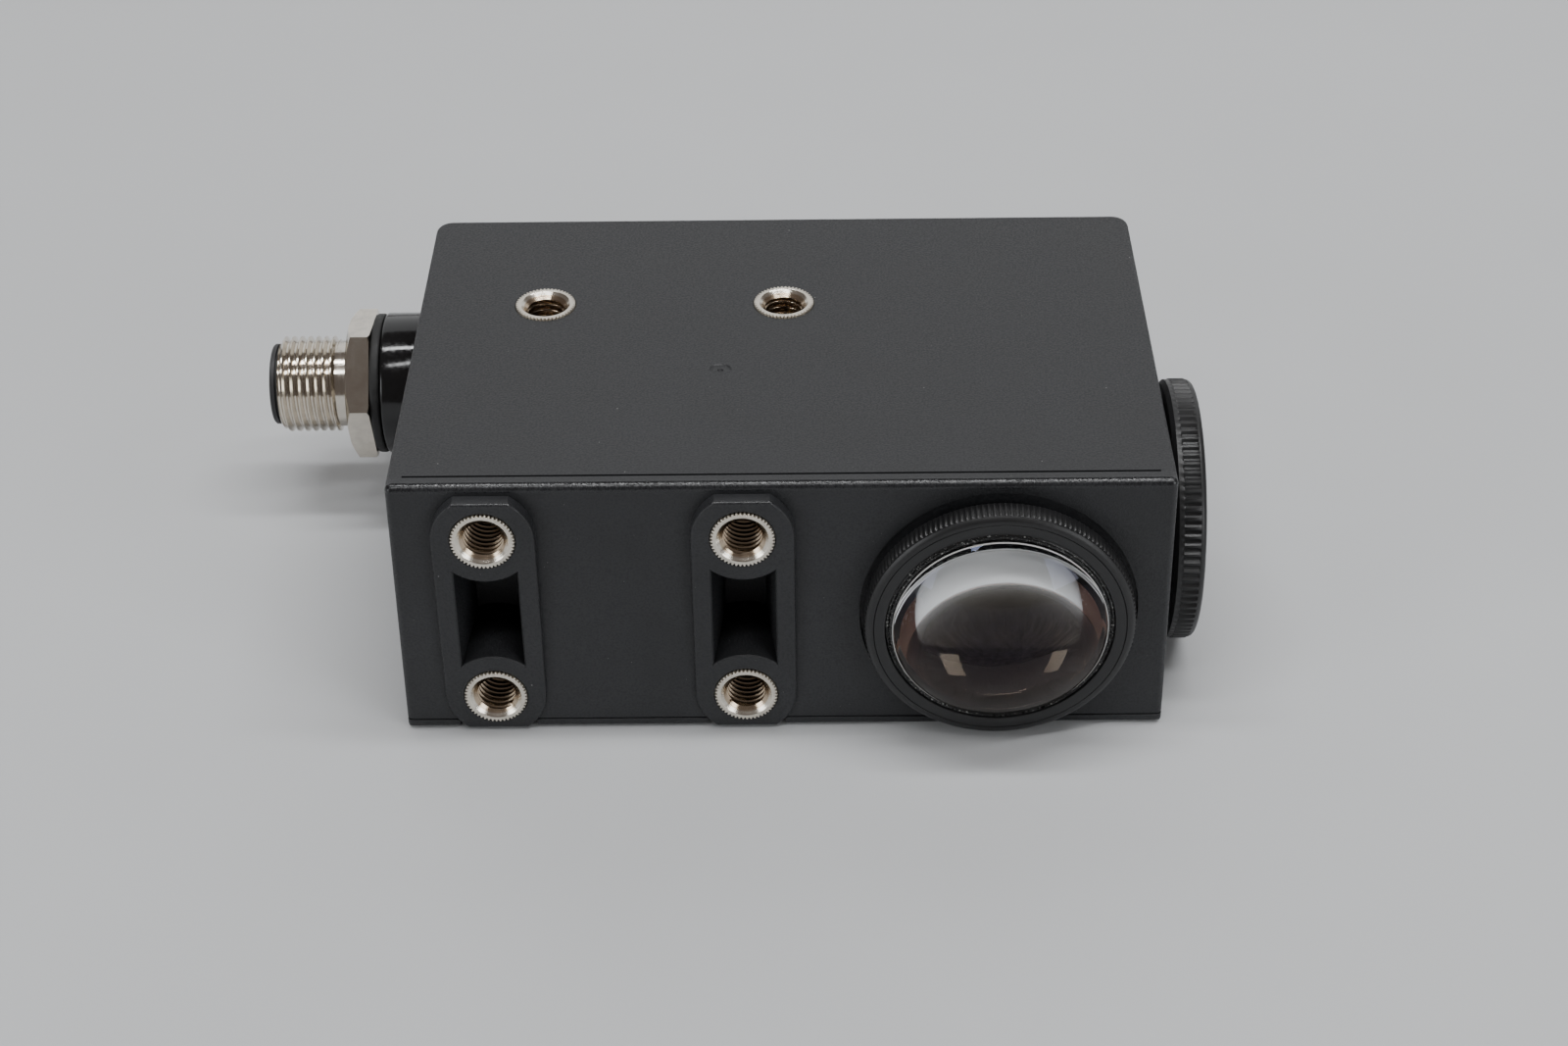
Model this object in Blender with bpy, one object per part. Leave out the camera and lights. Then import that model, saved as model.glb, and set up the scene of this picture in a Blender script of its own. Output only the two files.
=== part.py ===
"""Photoelectric scanner head with screw-in lens, blind cap and M12 connector.

Frame: origin at the centre of the bottom cover's lower face, +X towards the blind cap,
+Y towards the rear control panel, +Z up.  The lens looks along -Y.
"""
import math

import bmesh
import bpy
from mathutils import Matrix, Vector

# Every size below is in millimetres; MM turns it into Blender's metres.
MM = 0.001
GAP = 0.3               # air left between neighbouring solids

# Housing
LENGTH = 85.0           # along X
DEPTH = 59.2            # along Y, at the bottom edge
HEIGHT = 32.2           # along Z, cover included
FRONT_LEAN = 1.4        # how far the front wall's top edge stands back
WALL = 2.2
FRONT_WALL = 2.4
COVER_EDGE = 1.2        # visible edge of the bottom cover
REAR_CORNER = 2.0       # plan radius of the rear corners
FRONT_CORNER = 0.7
TOP_EDGE = 0.5
RIM_Z = COVER_EDGE + GAP
ROOF_Z = HEIGHT - WALL
FRONT_Y = -DEPTH / 2
REAR_Y = DEPTH / 2

# Mounting pads and their M5 inserts
PAD_X = (-32.2, -4.2)
INSERT_Z = (4.86, 26.2)
PAD_RADIUS = 5.65
PAD_TOP = 31.0
PAD_FLOOR = 0.3
PAD_FACE_Y = FRONT_Y - 0.3
PAD_BACK_Y = -20.5
INSERT_RADIUS = 3.5
INSERT_BORE = 2.1
INSERT_LENGTH = 8.1
INSERT_PROUD = 0.2
POCKET_HALF = 3.5
POCKET_DEPTH = 8.5
POCKET_DRAFT = 1.2
POCKET_ARC = 5.5
TOP_INSERTS = ((-27.75, 9.2), (0.25, 9.2))
TOP_BOSS_Z = 23.0

# Lens port in the front wall and blind port in the right-hand wall
AXIS_Z = 15.5
LENS_X = 23.7
CAP_Y = -9.6
RING_RADIUS = 14.87
RING_WIDTH = 2.95       # knurled width
RING_EDGE = 0.7
RING_FACE_Y = FRONT_Y - 2.55
SEAT_RADIUS = 15.3
SEAT_Y = -28.15
SEAL_POCKET = 13.5
SEAL_POCKET_Y = -27.5
SEAL_INNER = 12.4
SEAL_OUTER = 13.2
NECK_RADIUS = 12.0
BARREL_RADIUS = 11.7
BARREL_BORE = 10.2
COLLAR_RADIUS = 15.0
COLLAR_FLOOR = 2.9
LENS_RADIUS = 11.4
LENS_SAG = 4.6
LENS_RIM_Y = RING_FACE_Y - 0.15
CAP_RADIUS = 14.95
CAP_FACE_X = LENGTH / 2 + 4.4
CAP_KNURL_X = LENGTH / 2 + 0.85

# M12 connector in the left-hand wall
PLUG_Y = 18.7
SLEEVE_RADIUS = 8.65
SLEEVE_END_X = -48.8
HEX_X = (-53.05, -50.15)
HEX_FLATS = 16.0
HEX_TURN = -9.4         # degrees from the Y axis to a corner
HEX_RELIEF = 6.3        # radius of the shallow relief round the neck, wider than the thread
NECK_X = -54.35
THREAD_END_X = -61.9
PLUG_END_X = -62.8
THREAD_MAJOR = 5.88
THREAD_MINOR = 5.35
THREAD_PITCH = 1.0
PIN_CIRCLE = 2.5        # radius the four outer pins stand on
PIN_RADIUS = 0.5

# Rear control panel
PANEL_X = (-25.7, 29.7)
PANEL_Z = (5.8, 26.7)
PANEL_THICK = 1.0
WINDOW_X = (-17.0, 24.0)
WINDOW_Z = (9.0, 23.0)
BUTTON_X = (8.0, 18.5)
BUTTON_RADIUS = 3.5
BUTTON_PROUD = 0.8
LIGHT_X = (-9.5, -3.0)
LIGHT_RADIUS = 1.5
PANEL_BOARD_Y = (21.6, 23.2)
PANEL_BOARD_X = (-24.0, 30.2)
PANEL_SCREW_X = (-21.0, 27.2)

# Boards and optics inside
BOARD_Z = (6.0, 7.6)
BOARD_X = (-37.7, 8.4)
BOARD_Y = (-19.6, 20.2)
BOARD_SCREWS = ((-34.0, -10.5), (-14.0, 17.4), (4.5, -15.8))
COVER_SCREWS = ((-37.4, -16.8), (37.95, -24.55), (-37.0, 24.2), (37.0, 24.2))
COVER_POST_RADIUS = (2.6, 2.2, 3.5, 3.5)
COVER_SCREW_RADIUS = 1.1
COVER_POST_TOP = (ROOF_Z + 0.5, ROOF_Z + 0.5, 7.1, ROOF_Z + 0.5)
OPTICS_SCREWS = ((13.6, 0.5), (33.8, -19.7))
BLOCK_HALF = 12.3
BLOCK_Z = (5.0, 26.0)
BLOCK_BORE = 8.0        # the four round ports of the optics block
CHAMBER_HALF = 8.6      # the square chamber where the ports meet
CHAMBER_Z = (7.0, 24.0)
EMITTER_SHOULDER = BLOCK_HALF - 2.6     # distance from the chamber's centre to each lens stop
RECEIVER_SHOULDER = BLOCK_HALF - 3.0
SPLITTER_SIZE = (19.0, 1.0)
SPLITTER_Z = (6.8, 25.4)


def wall_y(z):
    """Y of the front wall's outer face at height z."""
    return FRONT_Y + FRONT_LEAN * z / HEIGHT


# ---------------------------------------------------------------- helpers

def material(name, colour, roughness, metallic=0.0, alpha=1.0):
    mat = bpy.data.materials.new(name)
    mat.use_nodes = True
    shader = mat.node_tree.nodes["Principled BSDF"]
    shader.inputs["Base Color"].default_value = (*colour, 1.0)
    shader.inputs["Roughness"].default_value = roughness
    shader.inputs["Metallic"].default_value = metallic
    shader.inputs["Alpha"].default_value = alpha
    return mat


def make_object(name, bm, mat, origin=(0.0, 0.0, 0.0)):
    """Turn a bmesh in millimetres into an object whose origin is at `origin`."""
    bmesh.ops.translate(bm, verts=bm.verts, vec=-Vector(origin))
    bmesh.ops.scale(bm, verts=bm.verts, vec=(MM, MM, MM))
    mesh = bpy.data.meshes.new(name)
    bm.to_mesh(mesh)
    bm.free()
    mesh.shade_smooth()
    mesh.set_sharp_from_angle(angle=math.radians(35))
    obj = bpy.data.objects.new(name, mesh)
    obj.location = Vector(origin) * MM
    bpy.context.scene.collection.objects.link(obj)
    if mat is not None:
        mesh.materials.append(mat)
    return obj


def combine(target, bm, operation):
    """Add or cut a bmesh on a target with an exact Boolean."""
    count = len(target.modifiers) + 1
    tool = make_object(f"{target.name}_tool_{count}", bm, None)
    tool.hide_render = True
    tool.display_type = "WIRE"
    step = target.modifiers.new(tool.name, "BOOLEAN")
    step.operation = operation
    step.solver = "EXACT"
    step.object = tool


def add(target, bm):
    combine(target, bm, "UNION")


def cut(target, bm):
    combine(target, bm, "DIFFERENCE")


def box(low, high):
    bm = bmesh.new()
    bmesh.ops.create_cube(bm, size=1.0)
    size = Vector(high) - Vector(low)
    bmesh.ops.scale(bm, verts=bm.verts, vec=size)
    bmesh.ops.translate(bm, verts=bm.verts, vec=(Vector(high) + Vector(low)) / 2)
    return bm


def turned(profile, centre, axis, segments, ring=False):
    """Spin (radius, distance) points about an axis through `centre`.

    A solid's profile runs from the axis to the axis; a ring's profile is a closed loop.
    """
    bm = bmesh.new()
    verts = [bm.verts.new((radius, 0.0, height)) for radius, height in profile]
    edges = [bm.edges.new(pair) for pair in zip(verts, verts[1:])]
    if ring:
        edges.append(bm.edges.new((verts[-1], verts[0])))
    bmesh.ops.spin(
        bm,
        geom=verts + edges,
        cent=(0, 0, 0),
        axis=(0, 0, 1),
        angle=2 * math.pi,
        steps=segments,
        use_merge=True,
    )
    bmesh.ops.remove_doubles(bm, verts=bm.verts, dist=1e-4)
    turn = Vector((0, 0, 1)).rotation_difference(Vector(axis)).to_matrix()
    bmesh.ops.rotate(bm, verts=bm.verts, cent=(0, 0, 0), matrix=turn)
    bmesh.ops.translate(bm, verts=bm.verts, vec=centre)
    bmesh.ops.recalc_face_normals(bm, faces=bm.faces)
    return bm


def rod(radius, start, end, segments=24):
    """Plain cylinder between two points."""
    start, end = Vector(start), Vector(end)
    length = (end - start).length
    profile = [(0, 0), (radius, 0), (radius, length), (0, length)]
    return turned(profile, start, end - start, segments)


def prism(outline, direction, low, high):
    """Extrude a closed outline along X, Y or Z from `low` to `high`.

    The outline holds (y, z) pairs for X, (x, z) pairs for Y and (x, y) pairs for Z.
    """
    place = {
        "X": lambda a, b, c: (c, a, b),
        "Y": lambda a, b, c: (a, c, b),
        "Z": lambda a, b, c: (a, b, c),
    }[direction]
    bm = bmesh.new()
    face = bm.faces.new([bm.verts.new(place(a, b, low)) for a, b in outline])
    shift = Vector(place(0, 0, high - low))
    grown = bmesh.ops.extrude_face_region(bm, geom=[face])
    moved = [item for item in grown["geom"] if isinstance(item, bmesh.types.BMVert)]
    bmesh.ops.translate(bm, verts=moved, vec=shift)
    bmesh.ops.recalc_face_normals(bm, faces=bm.faces)
    return bm


def arc(centre, radius, start, end, steps):
    """Points on a circle from angle `start` to angle `end`, in degrees."""
    points = []
    for index in range(steps + 1):
        angle = math.radians(start + (end - start) * index / steps)
        points.append((centre[0] + radius * math.cos(angle), centre[1] + radius * math.sin(angle)))
    return points


def floored_disc(centre, radius, floor, steps=28):
    """Circle outline with its bottom cut flat at height `floor`."""
    dip = math.degrees(math.asin((floor - centre[1]) / radius))
    return arc(centre, radius, dip, 180 - dip, steps)


def regular_polygon(centre, flats, sides, turn=0.0):
    """Outline of a hexagon or similar, given its size across flats."""
    corner = flats / 2 / math.cos(math.pi / sides)
    return arc(centre, corner, turn, turn + 360 * (sides - 1) / sides, sides - 1)


def ribbon(path, thickness):
    """Outline of a flat strip that follows an open path of 2-D points."""
    sides = ([], [])
    for index, point in enumerate(path):
        before = Vector(path[max(index - 1, 0)])
        after = Vector(path[min(index + 1, len(path) - 1)])
        here = Vector(point)
        into = (here - before).normalized() if index else (after - here).normalized()
        out = (after - here).normalized() if index < len(path) - 1 else into
        normal = Vector((-(into + out).y, (into + out).x)).normalized()
        reach = thickness / 2 / normal.dot(Vector((-into.y, into.x)))
        sides[0].append(tuple(here + normal * reach))
        sides[1].append(tuple(here - normal * reach))
    return sides[0] + sides[1][::-1]


def screw(name, head, shank, foot, axis, mat):
    """Countersunk or pan-head screw; `head` and `shank` hold (radius, length)."""
    head_radius, head_length = head
    shank_radius, length = shank
    profile = [
        (0, 0),
        (head_radius, 0),
        (head_radius, head_length * 0.35),
        (shank_radius, head_length),
        (shank_radius, length),
        (0, length),
    ]
    return make_object(name, turned(profile, foot, axis, 12), mat)


# ---------------------------------------------------------------- housing

def pad_outline(x):
    """Stadium around one pair of inserts, cut flat at the ledge and at the base."""
    dip = math.degrees(math.asin((PAD_FLOOR - INSERT_Z[0]) / PAD_RADIUS))
    rise = math.degrees(math.asin((PAD_TOP - INSERT_Z[1]) / PAD_RADIUS))
    outline = arc((x, INSERT_Z[0]), PAD_RADIUS, dip, 0, 7)
    outline += arc((x, INSERT_Z[1]), PAD_RADIUS, 0, rise, 8)
    outline += arc((x, INSERT_Z[1]), PAD_RADIUS, 180 - rise, 180, 8)
    outline += arc((x, INSERT_Z[0]), PAD_RADIUS, 180, 180 - dip, 7)
    return outline


def pocket(x):
    """Drafted pocket between the two inserts of a pad."""
    def outline(half, shrink):
        points = []
        for index in range(9):
            offset = half * (index / 4 - 1)
            reach = math.sqrt(POCKET_ARC ** 2 - offset ** 2)
            points.append((x + offset, INSERT_Z[1] - reach - shrink))
        for index in range(9):
            offset = half * (1 - index / 4)
            reach = math.sqrt(POCKET_ARC ** 2 - offset ** 2)
            points.append((x + offset, INSERT_Z[0] + reach + shrink))
        return points

    bm = bmesh.new()
    rings = []
    mouth_y = PAD_FACE_Y - 0.5
    floor_y = PAD_FACE_Y + POCKET_DEPTH
    for y, half, shrink in (
        (mouth_y, POCKET_HALF + 0.07, -0.07),
        (floor_y, POCKET_HALF - POCKET_DRAFT, POCKET_DRAFT),
    ):
        rings.append([bm.verts.new((px, y, pz)) for px, pz in outline(half, shrink)])
    for ring in rings:
        bm.faces.new(ring)
    count = len(rings[0])
    for index in range(count):
        after = (index + 1) % count
        bm.faces.new((rings[0][index], rings[0][after], rings[1][after], rings[1][index]))
    bmesh.ops.recalc_face_normals(bm, faces=bm.faces)
    return bm


def housing_shell():
    """Outer block with its leaning front wall and rounded edges."""
    side = [
        (wall_y(RIM_Z), RIM_Z),
        (REAR_Y, RIM_Z),
        (REAR_Y, HEIGHT),
        (wall_y(HEIGHT), HEIGHT),
    ]
    bm = prism(side, "X", -LENGTH / 2, LENGTH / 2)

    def upright(edge):
        low, high = sorted(vert.co.z for vert in edge.verts)
        return high - low > 1

    for rear, radius, steps in ((True, REAR_CORNER, 4), (False, FRONT_CORNER, 2)):
        edges = [edge for edge in bm.edges if upright(edge) and (edge.verts[0].co.y > 0) == rear]
        bmesh.ops.bevel(
            bm,
            geom=edges,
            offset=radius,
            segments=steps,
            profile=0.5,
            affect="EDGES",
            offset_type="OFFSET",
            material=-1,
        )
    rim = [edge for edge in bm.edges if all(vert.co.z > HEIGHT - 0.01 for vert in edge.verts)]
    bmesh.ops.bevel(
        bm,
        geom=rim,
        offset=TOP_EDGE,
        segments=2,
        profile=0.5,
        affect="EDGES",
        offset_type="OFFSET",
        material=-1,
    )
    return bm


def build_housing(mat):
    body = make_object("housing_body", housing_shell(), mat)

    inside = [
        (wall_y(0) + FRONT_WALL, 0.0),
        (REAR_Y - WALL, 0.0),
        (REAR_Y - WALL, ROOF_Z),
        (wall_y(ROOF_Z) + FRONT_WALL, ROOF_Z),
    ]
    cut(body, prism(inside, "X", WALL - LENGTH / 2, LENGTH / 2 - WALL))

    # solid blocks behind the mounting pads; the left one runs out to the side wall
    block_left = (WALL - LENGTH / 2 - 0.5, PAD_X[1] - PAD_RADIUS)
    for x, left in zip(PAD_X, block_left):
        low = (left, FRONT_Y + 1.8, RIM_Z + 0.01)
        high = (x + PAD_RADIUS - 0.02, PAD_BACK_Y, ROOF_Z + 0.6)
        add(body, box(low, high))
        add(body, prism(pad_outline(x), "Y", PAD_FACE_Y, PAD_BACK_Y - 0.05))

    # collars that take the lens barrel and the blind cap's barrel
    lens_disc = floored_disc((LENS_X, AXIS_Z), COLLAR_RADIUS, COLLAR_FLOOR)
    add(body, prism(lens_disc, "Y", -27.6, -22.2))
    cap_disc = floored_disc((CAP_Y, AXIS_Z), COLLAR_RADIUS - 0.05, COLLAR_FLOOR)
    add(body, prism(cap_disc, "X", 36.8, LENGTH / 2 - 0.8))

    for x, y in TOP_INSERTS:
        add(body, rod(5.5, (x, y, TOP_BOSS_Z), (x, y, ROOF_Z + 0.7)))
    for (x, y), radius, top in zip(COVER_SCREWS, COVER_POST_RADIUS, COVER_POST_TOP):
        add(body, rod(radius, (x, y, COLLAR_FLOOR + 0.02), (x, y, top), 14))
    for x, y in BOARD_SCREWS:
        add(body, rod(2.6, (x, y, BOARD_Z[1] + GAP), (x, y, ROOF_Z + 0.4), 14))
    for x, y in OPTICS_SCREWS:
        add(body, rod(2.2, (x, y, BLOCK_Z[1] + GAP), (x, y, ROOF_Z + 0.45), 14))
    for x in PANEL_SCREW_X:
        start = (x, PANEL_BOARD_Y[1] + GAP, 16.0)
        add(body, rod(2.4, start, (x, REAR_Y - WALL + 0.4, 16.0), 14))

    # ports, each one stepped bore: seat, seal pocket and threaded collar
    bore = BARREL_RADIUS + GAP
    lens_port = [
        (0, -36),
        (SEAT_RADIUS, -36),
        (SEAT_RADIUS, SEAT_Y),
        (SEAL_POCKET, SEAT_Y),
        (SEAL_POCKET, SEAL_POCKET_Y),
        (bore, SEAL_POCKET_Y),
        (bore, -20.3),
        (0, -20.3),
    ]
    cut(body, turned(lens_port, (LENS_X, 0, AXIS_Z), (0, 1, 0), 40))
    face = LENGTH / 2
    cap_port = [
        (0, 34.5),
        (bore, 34.5),
        (bore, face - 1.05),
        (SEAL_POCKET, face - 1.05),
        (SEAL_POCKET, face + 2),
        (0, face + 2),
    ]
    cut(body, turned(cap_port, (0, CAP_Y, AXIS_Z), (1, 0, 0), 40))
    cut(body, rod(7.1, (-45.0, PLUG_Y, AXIS_Z), (-37.5, PLUG_Y, AXIS_Z), 40))

    # insert seats and pockets
    hole = INSERT_RADIUS + GAP
    for x in PAD_X:
        for z in INSERT_Z:
            end = PAD_FACE_Y - INSERT_PROUD + INSERT_LENGTH + GAP
            cut(body, rod(hole, (x, PAD_FACE_Y - 1, z), (x, end, z), 24))
        cut(body, pocket(x))
    for x, y in TOP_INSERTS:
        end = HEIGHT + INSERT_PROUD - INSERT_LENGTH - GAP
        cut(body, rod(hole, (x, y, HEIGHT + 1), (x, y, end), 24))

    # rear control panel recess and the window behind it
    low = (PANEL_X[0] - GAP, REAR_Y - PANEL_THICK - GAP, PANEL_Z[0] - GAP)
    high = (PANEL_X[1] + GAP, REAR_Y + 1, PANEL_Z[1] + GAP)
    cut(body, box(low, high))
    cut(body, box((WINDOW_X[0], 26.5, WINDOW_Z[0]), (WINDOW_X[1], 29.0, WINDOW_Z[1])))

    # screw holes in the posts
    for x, y in COVER_SCREWS:
        cut(body, rod(COVER_SCREW_RADIUS + GAP, (x, y, 2.0), (x, y, 7.4), 12))
    for x, y in BOARD_SCREWS:
        cut(body, rod(1.3, (x, y, 7.0), (x, y, 14.3), 12))
    for x, y in OPTICS_SCREWS:
        cut(body, rod(1.3, (x, y, 25.5), (x, y, 29.4), 12))
    for x in PANEL_SCREW_X:
        cut(body, rod(1.3, (x, 23.0, 16.0), (x, 26.4, 16.0), 12))
    return body


def rim_outline(inset):
    """Inner outline of the housing at its rim, going round the pad blocks."""
    left = WALL - LENGTH / 2 + inset
    right = -left
    front = wall_y(0) + FRONT_WALL + inset
    rear = REAR_Y - WALL - inset
    step = PAD_BACK_Y + inset
    first_end = PAD_X[0] + PAD_RADIUS + inset
    second_start = PAD_X[1] - PAD_RADIUS - inset
    second_end = PAD_X[1] + PAD_RADIUS + inset
    return [
        (left, rear),
        (left, step),
        (first_end, step),
        (first_end, front),
        (second_start, front),
        (second_start, step),
        (second_end, step),
        (second_end, front),
        (right, front),
        (right, rear),
    ]


def build_cover(mat, seal_mat, screw_mat):
    front = FRONT_Y
    plate = box((-LENGTH / 2, front, 0), (LENGTH / 2, REAR_Y, COVER_EDGE))
    for rear, radius, steps in ((True, REAR_CORNER, 4), (False, FRONT_CORNER, 2)):
        edges = []
        for edge in plate.edges:
            upright = abs(edge.verts[0].co.z - edge.verts[1].co.z) > 1
            if upright and (edge.verts[0].co.y > 0) == rear:
                edges.append(edge)
        bmesh.ops.bevel(
            plate,
            geom=edges,
            offset=radius,
            segments=steps,
            profile=0.5,
            affect="EDGES",
            offset_type="OFFSET",
            material=-1,
        )
    cover = make_object("bottom_cover", plate, mat)
    add(cover, prism(rim_outline(1.2), "Z", COVER_EDGE - 0.5, COLLAR_FLOOR - GAP))
    for x in PAD_X:
        half = math.sqrt(PAD_RADIUS ** 2 - (INSERT_Z[0] - COVER_EDGE) ** 2) + GAP
        cut(cover, box((x - half, -32, -1), (x + half, PAD_BACK_Y + GAP, 2)))
    cut(cover, rod(SEAT_RADIUS, (LENS_X, -34, AXIS_Z), (LENS_X, SEAT_Y, AXIS_Z), 40))
    for index, (x, y) in enumerate(COVER_SCREWS, 1):
        hole = COVER_SCREW_RADIUS + GAP
        cone = [(0, -0.1), (3.3, -0.1), (hole, 1.9), (hole, 4), (0, 4)]
        cut(cover, turned(cone, (x, y, 0), (0, 0, 1), 20))
        shank = (COVER_SCREW_RADIUS, 6.8)
        screw(f"cover_screw_{index}", (2.2, 1.4), shank, (x, y, 0.2), (0, 0, 1), screw_mat)

    gasket = prism(rim_outline(0.3), "Z", RIM_Z, RIM_Z + 0.8)
    seal = make_object("cover_gasket", gasket, seal_mat)
    cut(seal, prism(rim_outline(0.9), "Z", RIM_Z - 1, RIM_Z + 2))


def build_inserts(mat):
    flare = 2.65
    profile = [
        (flare, 0),
        (INSERT_RADIUS, 0),
        (INSERT_RADIUS, INSERT_LENGTH),
        (INSERT_BORE, INSERT_LENGTH),
        (INSERT_BORE, 0.55),
    ]
    number = 1
    for x in PAD_X:
        for z in reversed(INSERT_Z):
            foot = (x, PAD_FACE_Y - INSERT_PROUD, z)
            shape = turned(profile, foot, (0, 1, 0), 20, ring=True)
            make_object(f"front_insert_{number}", shape, mat)
            number += 1
    for number, (x, y) in enumerate(TOP_INSERTS, 1):
        foot = (x, y, HEIGHT + INSERT_PROUD)
        shape = turned(profile, foot, (0, 0, -1), 20, ring=True)
        make_object(f"top_insert_{number}", shape, mat)


# ---------------------------------------------------------------- lens and cap

def build_lens(ring_mat, glass_mat, seal_mat):
    """Screw-in lens unit; distances run along +Y from the ring's front face."""
    axis = (0, 1, 0)
    foot = (LENS_X, RING_FACE_Y, AXIS_Z)
    barrel_end = -22.5 - RING_FACE_Y
    ring = [
        (12.5, 0),
        (RING_RADIUS - RING_EDGE, 0),
        (RING_RADIUS - RING_EDGE * 0.29, RING_EDGE * 0.29),
        (RING_RADIUS, RING_EDGE),
        (RING_RADIUS, RING_WIDTH),
        (NECK_RADIUS, RING_WIDTH),
        (NECK_RADIUS, RING_WIDTH + 1.3),
        (BARREL_RADIUS, RING_WIDTH + 1.6),
        (BARREL_RADIUS, barrel_end),
        (BARREL_BORE, barrel_end),
        (BARREL_BORE, 3.4),
        (LENS_RADIUS + GAP, 3.4),
        (LENS_RADIUS + GAP, 1.4),
        (12.5, 1.4),
    ]
    make_object("lens_ring", turned(ring, foot, axis, 40, ring=True), ring_mat, foot)

    curve = (LENS_RADIUS ** 2 + LENS_SAG ** 2) / (2 * LENS_SAG)
    rim = LENS_RIM_Y - RING_FACE_Y
    dome = []
    steps = 8
    top = math.asin(LENS_RADIUS / curve)
    for index in range(steps + 1):
        angle = top * index / steps
        dome.append((curve * math.sin(angle), rim - LENS_SAG + curve * (1 - math.cos(angle))))
    dome[0] = (0, rim - LENS_SAG)
    glass = dome + [(LENS_RADIUS, 3.1), (0, 3.1)]
    make_object("front_lens", turned(glass, foot, axis, 36), glass_mat, foot)

    bead = [(11.7, 0.15), (12.2, 0.15), (12.2, 1.1), (11.7, 1.1)]
    make_object("lens_bead", turned(bead, foot, axis, 32, ring=True), seal_mat, foot)

    back = RING_WIDTH + GAP
    seal = [(SEAL_INNER, back), (SEAL_OUTER, back), (SEAL_OUTER, back + 1.1), (SEAL_INNER, back + 1.1)]
    make_object("lens_seal", turned(seal, foot, axis, 32, ring=True), seal_mat, foot)


def build_cap(ring_mat, seal_mat):
    """Blind cap; distances run along -X from the cap's outer face."""
    axis = (-1, 0, 0)
    foot = (CAP_FACE_X, CAP_Y, AXIS_Z)
    knurl_end = CAP_FACE_X - CAP_KNURL_X
    barrel_end = CAP_FACE_X - 37.0
    cap = [
        (0, 0.5),
        (9.5, 0.5),
        (10.0, 0),
        (CAP_RADIUS - 0.9, 0),
        (CAP_RADIUS - 0.26, 0.26),
        (CAP_RADIUS, 0.9),
        (CAP_RADIUS, knurl_end),
        (NECK_RADIUS, knurl_end),
        (NECK_RADIUS, knurl_end + 1.4),
        (BARREL_RADIUS, knurl_end + 1.7),
        (BARREL_RADIUS, barrel_end),
        (BARREL_BORE, barrel_end),
        (BARREL_BORE, 3.0),
        (0, 3.0),
    ]
    make_object("blind_cap", turned(cap, foot, axis, 40), ring_mat, foot)

    back = knurl_end + GAP
    seal = [(SEAL_INNER, back), (SEAL_OUTER, back), (SEAL_OUTER, back + 1.3), (SEAL_INNER, back + 1.3)]
    make_object("cap_seal", turned(seal, foot, axis, 32, ring=True), seal_mat, foot)


# ---------------------------------------------------------------- connector

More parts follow.
